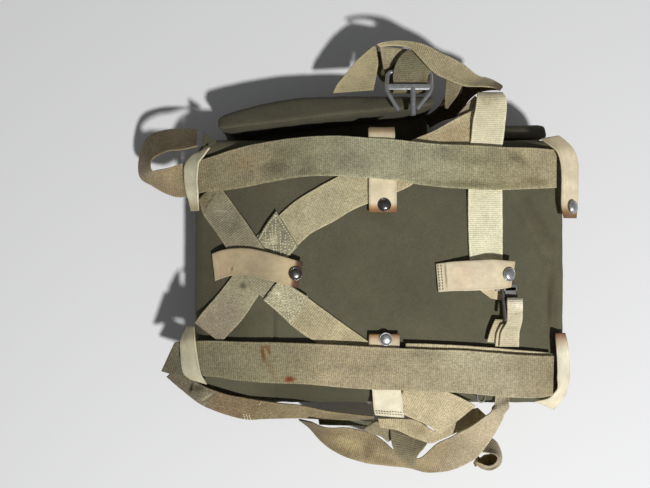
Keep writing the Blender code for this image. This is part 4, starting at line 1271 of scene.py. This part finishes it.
def pack_top(x, y):
    """Height of the pack's upper face."""
    middle_x = (PACK_LEFT + PACK_RIGHT) / 2
    u = min(abs((x - middle_x) / ((PACK_RIGHT - PACK_LEFT) / 2)), 1.0)
    v = min(abs(y / PACK_FAR), 1.0)
    crown = PACK_CROWN * (1 - u ** PACK_CROWN_POWER) * (1 - v ** PACK_CROWN_POWER)
    fall = max(
        shoulder(NEAR_SHOULDER, y - PACK_NEAR),
        shoulder(FAR_SHOULDER, PACK_FAR - y),
        shoulder(LEFT_SHOULDER, x - PACK_LEFT),
        shoulder(RIGHT_SHOULDER, PACK_RIGHT - x),
    )
    return PACK_RIM_HEIGHT + crown - fall


def pocket_ridge(x):
    """Near edge of the side pocket's upper face."""
    return POCKET_RIDGE + POCKET_RIDGE_RISE * (x - POCKET_LEFT) / (POCKET_RIGHT - POCKET_LEFT)


def pocket_edge(x):
    """Far edge of the side pocket, drawn in towards its left end."""
    bow = max(POCKET_BOW_START - x, 0.0) / (POCKET_BOW_START - POCKET_LEFT)
    return POCKET_FAR - POCKET_BOW_DEPTH * bow * bow


def pocket_place(x, y, share):
    """Place of an outline point at a share of the height, with the low step before the raised part."""
    near = POCKET_NEAR
    if share > POCKET_STEP:
        near = pocket_ridge(x)
    across = (y - POCKET_NEAR) / (POCKET_FAR - POCKET_NEAR)
    return x, near + across * (pocket_edge(x) - near)


def pocket_top(x, y):
    """Height of the side pocket's upper face, which slopes away from the pack."""
    end = min(max((x - POCKET_END_START) / (POCKET_RIGHT - POCKET_END_START), 0.0), 1.0)
    fall = max(
        shoulder(POCKET_SHOULDER, pocket_edge(x) - y),
        shoulder(POCKET_NEAR_SHOULDER, y - pocket_ridge(x)),
        shoulder(POCKET_SHOULDER, x - POCKET_LEFT),
        shoulder(POCKET_SHOULDER, POCKET_RIGHT - x),
    )
    fall += POCKET_END_FALL * end * end * (3 - 2 * end)
    return POCKET_WALL_HEIGHT - POCKET_SLOPE * max(y - pocket_ridge(x), 0.0) - fall


def fold_top(x, y):
    """Height of the canvas fold that stands out from the far wall."""
    fall = max(
        shoulder(FOLD_SHOULDER, FOLD_FAR - y),
        shoulder(FOLD_SHOULDER, x - FOLD_LEFT),
        shoulder(FOLD_SHOULDER, FOLD_RIGHT - x),
    )
    return FOLD_WALL_HEIGHT - FOLD_SLOPE * (y - FOLD_NEAR) - fall


def rounded_outline(left, right, near, far, radius, count):
    """Points round a rectangle with round corners, counter-clockwise."""
    straight_x = right - left - 2 * radius
    straight_y = far - near - 2 * radius
    quarter = math.pi * radius / 2
    total = 2 * (straight_x + straight_y) + 4 * quarter
    legs = (
        ("line", right, near + radius, 0, 1, straight_y),
        ("arc", right - radius, far - radius, 0.0, 0, quarter),
        ("line", right - radius, far, -1, 0, straight_x),
        ("arc", left + radius, far - radius, 90.0, 0, quarter),
        ("line", left, far - radius, 0, -1, straight_y),
        ("arc", left + radius, near + radius, 180.0, 0, quarter),
        ("line", left + radius, near, 1, 0, straight_x),
        ("arc", right - radius, near + radius, 270.0, 0, quarter),
    )
    points = []
    for index in range(count):
        run = total * index / count
        for kind, x, y, a, b, length in legs:
            if run <= length:
                break
            run -= length
        if kind == "line":
            points.append((x + a * run, y + b * run))
        else:
            turn = math.radians(a + 90.0 * min(run / quarter, 1.0))
            points.append((x + radius * math.cos(turn), y + radius * math.sin(turn)))
    return points


def upright(x, y, share):
    """Place of an outline point on a form with plain sides."""
    return x, y


def filled_form(name, outline, levels, rings, top, shrink, place=upright):
    """Cushion form with a flat foot, a little smaller than the finished piece."""
    count = len(outline)
    centre_x = sum(p[0] for p in outline) / count
    centre_y = sum(p[1] for p in outline) / count

    def drawn_in(x, y, scale):
        return centre_x + (x - centre_x) * scale, centre_y + (y - centre_y) * scale

    points = []
    for share, inset in levels:
        for x, y in outline:
            reach = math.hypot(x - centre_x, y - centre_y)
            spot = drawn_in(x, y, (reach - inset - shrink) / reach)
            height = max(share * (top(*place(x, y, share)) - shrink), 0.0)
            points.append((*place(*spot, share), height))
    for scale in rings:
        for x, y in outline:
            reach = math.hypot(x - centre_x, y - centre_y)
            spot = drawn_in(x, y, scale)
            height = top(*place(*spot, 1.0)) - shrink
            points.append((*place(*drawn_in(*spot, (reach - shrink) / reach), 1.0), height))
    peak = place(centre_x, centre_y, 1.0)
    points.append((*peak, top(*peak) - shrink))
    faces = []
    last = (len(levels) + len(rings) - 1) * count
    for a in range(0, last, count):
        b = a + count
        for index in range(count):
            after = (index + 1) % count
            faces.append((a + index, a + after, b + after, b + index))
    for index in range(count):
        faces.append((last + index, last + (index + 1) % count, len(points) - 1))
    faces.append(tuple(reversed(range(count))))
    return new_piece(name, points, faces)


def spots(item):
    """Points and normals of a mesh, the points in millimetres."""
    corners = item.data.vertices
    places = np.empty(len(corners) * 3)
    corners.foreach_get("co", places)
    facing = np.empty(len(corners) * 3)
    corners.foreach_get("normal", facing)
    return places.reshape(-1, 3) / MM, facing.reshape(-1, 3)


def put_spots(item, places):
    """Moves a mesh to new points in millimetres."""
    item.data.vertices.foreach_set("co", (places * MM).ravel())
    item.data.update()


def only(item):
    """Selects one piece alone."""
    bpy.ops.object.select_all(action="DESELECT")
    item.select_set(True)
    bpy.context.view_layer.objects.active = item


def swell(item, voxel, pressure, reach):
    """Fills a canvas form with pressure, and holds each point within a reach of its start."""
    only(item)
    item.data.remesh_voxel_size = voxel * MM
    bpy.ops.object.voxel_remesh()
    start, facing = spots(item)
    cloth = item.modifiers.new("filling", "CLOTH")
    cloth.settings.use_pressure = True
    cloth.settings.uniform_pressure_force = pressure
    cloth.settings.effector_weights.gravity = 0.0
    cloth.settings.quality = FILLING_QUALITY
    cloth.settings.tension_stiffness = CANVAS_STIFFNESS
    cloth.settings.compression_stiffness = CANVAS_STIFFNESS
    cloth.settings.bending_stiffness = CANVAS_BENDING
    cloth.collision_settings.use_collision = False
    for number in range(1, FILLING_STEPS + 1):
        bpy.context.scene.frame_set(number)
    bpy.ops.object.modifier_apply(modifier="filling")
    bpy.context.scene.frame_set(1)
    places, _ = spots(item)
    move = places - start
    length = np.linalg.norm(move, axis=1)
    keep = np.minimum(1.0, reach / np.maximum(length, 1e-6))
    places = start + move * keep[:, None]
    places[:, 2] = np.maximum(places[:, 2], 0.0)
    places[start[:, 2] < FOOT_HEIGHT, 2] = 0.0
    put_spots(item, places)
    smooth = item.modifiers.new("smooth", "SUBSURF")
    smooth.levels = 1
    smooth.render_levels = 1
    bpy.ops.object.modifier_apply(modifier="smooth")
    item.data.polygons.foreach_set("use_smooth", [True] * len(item.data.polygons))


def line_share(places, x0, y0, x1, y1):
    """Distance of each point from a line seen from above, and its share along it."""
    way = np.array([x1 - x0, y1 - y0])
    share = ((places[:, 0] - x0) * way[0] + (places[:, 1] - y0) * way[1]) / np.dot(way, way)
    held = np.clip(share, 0, 1)
    dx = places[:, 0] - (x0 + held * way[0])
    dy = places[:, 1] - (y0 + held * way[1])
    return np.hypot(dx, dy), share


def crease(item, rows):
    """Presses soft troughs and ridges into the upper face. A depth below nothing is a ridge."""
    places, facing = spots(item)
    up = np.clip(facing[:, 2] * 1.6, 0, 1)
    wander = np.array([1 + 0.4 * grain(p, 30.0, 6.0) for p in places])
    move = np.zeros(len(places))
    for x0, y0, x1, y1, width, depth in rows:
        away, share = line_share(places, x0, y0, x1, y1)
        ends = np.clip(1 - (np.abs(share - 0.5) * 2) ** 4, 0, 1)
        move -= depth * np.exp(-(away / (width * wander)) ** 2) * ends * up
    put_spots(item, places + facing * move[:, None])


def rumple(item, top_lump, wall_lump):
    """Uneven face of filled canvas: broad and faint above, upright puckers on the walls."""
    places, facing = spots(item)
    move = np.empty(len(places))
    for index, (place, way) in enumerate(zip(places, facing)):
        broad = grain(place, 60.0, 1.0) + 0.5 * grain(place, 24.0, 2.0)
        tall = (place[0], place[1], place[2] * 0.25)
        pucker = grain(tall, 16.0, 3.0) + 0.5 * grain(place, 9.0, 4.0)
        wall = 1 - min(abs(way[2]) * 1.3, 1.0)
        move[index] = top_lump * broad * (1 - wall) + wall_lump * pucker * wall
    move[places[:, 2] < RUMPLE_START] = 0.0
    put_spots(item, places + facing * move[:, None])


def canvas_skin(item, top_tone, wall_tone, marks=()):
    """Cloth map and colour of a canvas piece. Marks are soft spots in plan."""
    mesh = item.data
    places, facing = spots(item)
    up = np.clip(facing[:, 2], 0, 1)[:, None]
    colour = np.array(wall_tone) * (1 - up) + np.array(top_tone) * up
    for x, y, reach, breadth, turn, red, green, blue, strength in marks:
        along, across = turned(places[:, 0] - x, places[:, 1] - y, turn)
        u = along / reach
        v = across / breadth
        weight = (strength * np.exp(-(u * u + v * v) ** 1.2))[:, None]
        colour = colour * (1 - weight) + np.array((red, green, blue)) * weight
    patch = np.array([1 + 0.05 * grain(p, 55.0, 1.0) + 0.03 * grain(p, 12.0, 2.0) for p in places])
    paint(mesh, colour * patch[:, None])
    chart = np.empty((len(mesh.loops), 2))
    for face in mesh.polygons:
        axes = (0, 1)
        if abs(face.normal.x) > WALL_TURN:
            axes = (1, 2)
        elif abs(face.normal.y) > WALL_TURN:
            axes = (0, 2)
        for corner in face.loop_indices:
            place = places[mesh.loops[corner].vertex_index]
            chart[corner] = (place[axes[0]] * MM, place[axes[1]] * MM)
    mesh.uv_layers.new(name="cloth").data.foreach_set("uv", chart.ravel())


# Fittings

def settle(item, matrix):
    """Moves a piece made at the origin to its place, in its mesh."""
    item.data.transform(matrix)
    item.data.update()


def pick_faces(item, test):
    """Selects the faces whose middle and normal pass a test."""
    bpy.ops.object.mode_set(mode="EDIT")
    bpy.ops.mesh.select_mode(type="FACE")
    bpy.ops.mesh.select_all(action="DESELECT")
    bpy.ops.object.mode_set(mode="OBJECT")
    for face in item.data.polygons:
        face.select = test(face.center / MM, face.normal)
    bpy.ops.object.mode_set(mode="EDIT")


def round_edges(item, width, segments, by_angle=False):
    """Bevels a fitting's edges."""
    edge = item.modifiers.new("edge", "BEVEL")
    edge.width = width * MM
    edge.segments = segments
    if by_angle:
        edge.limit_method = "ANGLE"
    bpy.ops.object.modifier_apply(modifier="edge")


def snap_cap(name, x, y, z, lean, azimuth):
    """Pressed snap cap: a rolled rim, a groove and a low dome."""
    bpy.ops.object.select_all(action="DESELECT")
    bpy.ops.mesh.primitive_cylinder_add(
        vertices=CAP_SIDES, radius=CAP_RADIUS * MM, depth=CAP_FOOT * MM,
        location=(0, 0, CAP_FOOT / 2 * MM))
    item = bpy.context.object
    item.name = name + "_made"
    bpy.ops.object.transform_apply(location=True, rotation=False, scale=False)
    pick_faces(item, lambda middle, way: way.z > CAP_FACING)
    for height, shrink in CAP_PROFILE:
        bpy.ops.mesh.extrude_region_move(TRANSFORM_OT_translate={"value": (0, 0, height * MM)})
        bpy.ops.transform.resize(value=(shrink, shrink, 1))
    bpy.ops.object.mode_set(mode="OBJECT")
    pick_faces(item, lambda middle, way: way.z < -CAP_FACING and middle.z < CAP_FOOT / 2)
    bpy.ops.mesh.inset(thickness=CAP_LIP * MM, depth=0.0)
    bpy.ops.object.mode_set(mode="OBJECT")
    round_edges(item, CAP_EDGE, segments=2, by_angle=True)
    bpy.ops.object.shade_smooth()
    leaned = Matrix.Rotation(math.radians(lean), 4, "Y")
    turned_round = Matrix.Rotation(math.radians(azimuth), 4, "Z")
    settle(item, Matrix.Translation((x * MM, y * MM, z * MM)) @ turned_round @ leaned)
    return item


def bent_line(corners, bend, closed):
    """Points along a rod's middle line, with rounded corners."""
    points = []
    count = len(corners)
    for index in range(count):
        corner = Vector(corners[index])
        if not closed and index in (0, count - 1):
            points.append(corner)
            continue
        back = Vector(corners[index - 1]) - corner
        onward = Vector(corners[(index + 1) % count]) - corner
        first = corner + back.normalized() * min(bend, back.length * BEND_LIMIT)
        second = corner + onward.normalized() * min(bend, onward.length * BEND_LIMIT)
        for step in range(BEND_STEPS + 1):
            t = step / BEND_STEPS
            points.append(first * (1 - t) ** 2 + corner * (2 * t * (1 - t)) + second * t * t)
    return points


def bent_rod(name, corners, radius, bend, closed=False):
    """Round rod bent along its corners, as a mesh."""
    curve = bpy.data.curves.new(name, "CURVE")
    curve.dimensions = "3D"
    curve.bevel_depth = radius * MM
    curve.bevel_resolution = ROD_ROUNDNESS
    curve.use_fill_caps = True
    line = curve.splines.new("POLY")
    points = bent_line(corners, bend, closed)
    line.points.add(len(points) - 1)
    for spot, point in zip(line.points, points):
        spot.co = (*(point * MM), 1.0)
    line.use_cyclic_u = closed
    item = bpy.data.objects.new(name, curve)
    bpy.context.scene.collection.objects.link(item)
    only(item)
    bpy.ops.object.convert(target="MESH")
    bpy.ops.object.shade_smooth()
    return bpy.context.object


def plate(name, x, y, z, size_x, size_y, size_z, round_edge):
    """Flat steel plate with rounded edges."""
    bpy.ops.object.select_all(action="DESELECT")
    bpy.ops.mesh.primitive_cube_add(size=1, location=(0, 0, 0))
    item = bpy.context.object
    item.name = name
    item.scale = (size_x * MM, size_y * MM, size_z * MM)
    bpy.ops.object.transform_apply(location=False, rotation=False, scale=True)
    round_edges(item, round_edge, segments=4)
    bpy.ops.object.shade_smooth_by_angle(angle=math.radians(PLATE_SMOOTH_ANGLE))
    settle(item, Matrix.Translation((x * MM, y * MM, z * MM)))
    return item


def joined(name, items):
    """Several meshes as one piece."""
    bpy.ops.object.select_all(action="DESELECT")
    for item in items:
        item.select_set(True)
    bpy.context.view_layer.objects.active = items[0]
    bpy.ops.object.join()
    items[0].name = name
    items[0].data.name = name
    return items[0]


# Sewing

def stitch_line(lay, legs):
    """Both ends and the face way of each stitch. Each leg runs from (run, side) to (run, side)."""
    out = []
    half = 0.5 * STITCH_LENGTH / STITCH_PITCH
    for run_a, side_a, run_b, side_b in legs:
        start, _ = lay.at(run_a, side_a)
        end, _ = lay.at(run_b, side_b)
        count = max(1, int(np.linalg.norm(end - start) / STITCH_PITCH))
        for number in range(count):
            t0 = (number + 0.5 - half) / count
            t1 = (number + 0.5 + half) / count
            a, face = lay.at(run_a + (run_b - run_a) * t0, side_a + (side_b - side_a) * t0)
            b, _ = lay.at(run_a + (run_b - run_a) * t1, side_a + (side_b - side_a) * t1)
            out.append((a, b, face))
    return out


def stitches(name, lay, legs):
    """Raised stitches on a band's upper face, as one mesh."""
    points = []
    faces = []
    sides = range(STITCH_SIDES)
    up = 1.0
    if lay.face[len(lay.face) // 2][2] < 0:
        up = -1.0
    for a, b, face in stitch_line(lay, legs):
        way = b - a
        long = np.linalg.norm(way)
        if long < 1e-6:
            continue
        wide = np.cross(way / long, face)
        base = len(points)
        for share, swelling in STITCH_PROFILE:
            rise = STITCH_LIFT + STITCH_THICKNESS * 0.25 * swelling
            middle = a + way * share + face * up * rise
            for side in sides:
                c = math.cos(2 * math.pi * side / STITCH_SIDES)
                s = math.sin(2 * math.pi * side / STITCH_SIDES)
                points.append(middle + (wide * c + face * s) * STITCH_THICKNESS * swelling)
        last = len(points) - STITCH_SIDES
        for p in range(base, last, STITCH_SIDES):
            for side in sides:
                after = (side + 1) % STITCH_SIDES
                q = p + STITCH_SIDES
                faces.append((p + side, p + after, q + after, q + side))
        faces.append(tuple(base + side for side in reversed(sides)))
        faces.append(tuple(last + side for side in sides))
    item = new_piece(name, points, faces)
    face_outwards(item)
    return item


def dress(item, finish, slot, *nodes):
    """Gives a piece its finish and its body, and hides the solids that it stands for; its slot is not
    used.
    """
    item.data.materials.clear()
    item.data.materials.append(finish)
    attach(item, "root")
    if nodes:
        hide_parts(*nodes)


# The photo's frame

def studio():
    """Camera above, one lamp from the near right, a faint even sky and a pale floor."""
    scene = bpy.context.scene
    eye = bpy.data.cameras.new("camera")
    eye.lens = CAMERA_LENS
    eye.sensor_width = CAMERA_SENSOR
    eye.sensor_fit = "HORIZONTAL"
    eye.clip_end = CAMERA_SIGHT * MM
    camera = bpy.data.objects.new("camera", eye)
    camera.location = [v * MM for v in CAMERA_PLACE]
    scene.collection.objects.link(camera)
    scene.camera = camera

    lamp = bpy.data.lights.new("lamp", "AREA")
    lamp.shape = "DISK"
    lamp.size = LIGHT_WIDTH * MM
    lamp.energy = LIGHT_POWER
    light = bpy.data.objects.new("lamp", lamp)
    way = Vector(LIGHT_WAY).normalized()
    light.location = way * LIGHT_REACH * MM
    light.rotation_euler = way.to_track_quat("Z", "Y").to_euler()
    scene.collection.objects.link(light)

    sky = bpy.data.worlds.new("sky")
    sky.use_nodes = True
    glow = sky.node_tree.nodes["Background"]
    glow.inputs["Color"].default_value = (*SKY_COLOUR, 1.0)
    glow.inputs["Strength"].default_value = SKY_STRENGTH
    scene.world = sky
    scene.view_settings.view_transform = "Standard"

    bpy.ops.object.select_all(action="DESELECT")
    bpy.ops.mesh.primitive_plane_add(size=FLOOR_SIZE * MM, location=(0, 0, -FLOOR_DROP * MM))
    floor = bpy.context.object
    floor.name = "floor"
    finish, _, shader = blank_finish("pale_floor", FLOOR_ROUGHNESS, gloss=FLOOR_GLOSS)
    shader.inputs["Base Color"].default_value = (*FLOOR_COLOUR, 1.0)
    floor.data.materials.append(finish)


def canvas_pieces(canvas):
    """The filled pack, its side pocket and the fold on its far wall."""
    outline = rounded_outline(
        PACK_LEFT, PACK_RIGHT, PACK_NEAR, PACK_FAR, PACK_CORNER_RADIUS, OUTLINE_POINTS["pack"])
    pack = filled_form("pack_body_made", outline, PACK_LEVELS, PACK_RINGS, pack_top, shrink=1.5)
    swell(pack, voxel=6.0, pressure=3.0, reach=2.0)
    crease(pack, PACK_CREASES)
    rumple(pack, top_lump=0.5, wall_lump=1.1)
    canvas_skin(pack, *PACK_TONES, PACK_MARKS)
    dress(pack, canvas, "canvas", "pack_body")

    outline = rounded_outline(
        POCKET_LEFT, POCKET_RIGHT, POCKET_NEAR, POCKET_FAR, POCKET_CORNER_RADIUS,
        OUTLINE_POINTS["pocket"])
    pocket = filled_form(
        "side_pocket_made", outline, POCKET_LEVELS, POCKET_RINGS, pocket_top, shrink=1.0,
        place=pocket_place)
    swell(pocket, voxel=4.5, pressure=2.5, reach=1.6)
    rumple(pocket, top_lump=0.8, wall_lump=0.9)
    canvas_skin(pocket, *POCKET_TONES)
    dress(pocket, canvas, "canvas", "side_pocket")

    outline = rounded_outline(
        FOLD_LEFT, FOLD_RIGHT, FOLD_NEAR, FOLD_FAR, FOLD_CORNER_RADIUS, OUTLINE_POINTS["fold"])
    fold = filled_form("far_wall_fold_made", outline, FOLD_LEVELS, FOLD_RINGS, fold_top, shrink=0.6)
    swell(fold, voxel=3.5, pressure=2.0, reach=1.0)
    rumple(fold, top_lump=0.5, wall_lump=0.6)
    canvas_skin(fold, *FOLD_TONES)
    dress(fold, canvas, "canvas", "far_wall_fold")


def band_pieces(looks):
    """Every strap and keeper and the canvas ear: piece and lay by name."""
    made = {}
    for name, rows in WEBBING_STRAPS.items():
        made[name] = band(name, rows, WEBBING_THICKNESS)
        dress(made[name][0], looks[BAND_FINISHES.get(name, "ribbed_webbing")], "webbing", name)
    for name, rows in LEATHER_KEEPERS.items():
        made[name] = band(name, rows, LEATHER_THICKNESS, lumps=0.45, fray=0.25, edge=0.93)
        dress(made[name][0], looks["cream_leather"], "leather", name)
    made["canvas_ear"] = band("canvas_ear", CANVAS_EAR, CANVAS_THICKNESS, step=EAR_STEP)
    dress(made["canvas_ear"][0], looks["olive_canvas"], "canvas", "canvas_ear")
    return made


def steel_pieces(bright, dark, dull):
    """Snap caps, harness ring, friction buckle and small ring."""
    for name, place in SNAP_CAPS.items():
        dress(snap_cap(name, *place), dark if name in DARK_CAPS else bright, "steel", name)

    ring = joined("harness_ring_made", [
        bent_rod("frame", RING_FRAME, ROD_RADIUS, RING_BEND),
        plate("bar", *RING_PLATE, RING_BAR_EDGE),
        bent_rod("tongue", RING_TONGUE, TONGUE_RADIUS, PIN_BEND),
    ])
    dress(ring, bright, "steel", "harness_ring")

    buckle = joined("friction_buckle_made", [
        plate("first_plate", *BUCKLE_PLATES[0], BUCKLE_EDGE),
        plate("second_plate", *BUCKLE_PLATES[1], BUCKLE_EDGE),
        bent_rod("bar", BUCKLE_BAR, BUCKLE_ROD_RADIUS, PIN_BEND),
    ])
    dress(buckle, dull, "steel", "friction_buckle")

    x, y, z = SMALL_RING_CENTRE
    corners = []
    for number in range(SMALL_RING_CORNERS):
        turn = 2 * math.pi * number / SMALL_RING_CORNERS
        wide = SMALL_RING_SQUASH * SMALL_RING_RADIUS * math.cos(turn)
        corners.append((x + wide, y + SMALL_RING_RADIUS * math.sin(turn), z))
    small_ring = bent_rod("small_ring_made", corners, SMALL_ROD_RADIUS, SMALL_RING_BEND, closed=True)
    dress(small_ring, dull, "steel", "small_ring")


def main():
    """The whole scene: studio, canvas, bands, steel and sewing."""
    studio()
    looks = all_finishes()
    canvas_pieces(looks["olive_canvas"])
    made = band_pieces(looks)
    steel_pieces(looks["worn_steel"], looks["cap_steel"], looks["dull_steel"])
    sewing = {}
    for name, (band_name, legs, thread) in SEWING.items():
        item = stitches(name, made[band_name][1], legs)
        dress(item, looks[thread], "webbing")
        sewing.setdefault(band_name, []).append(item)


main()
bpy.context.view_layer.update()
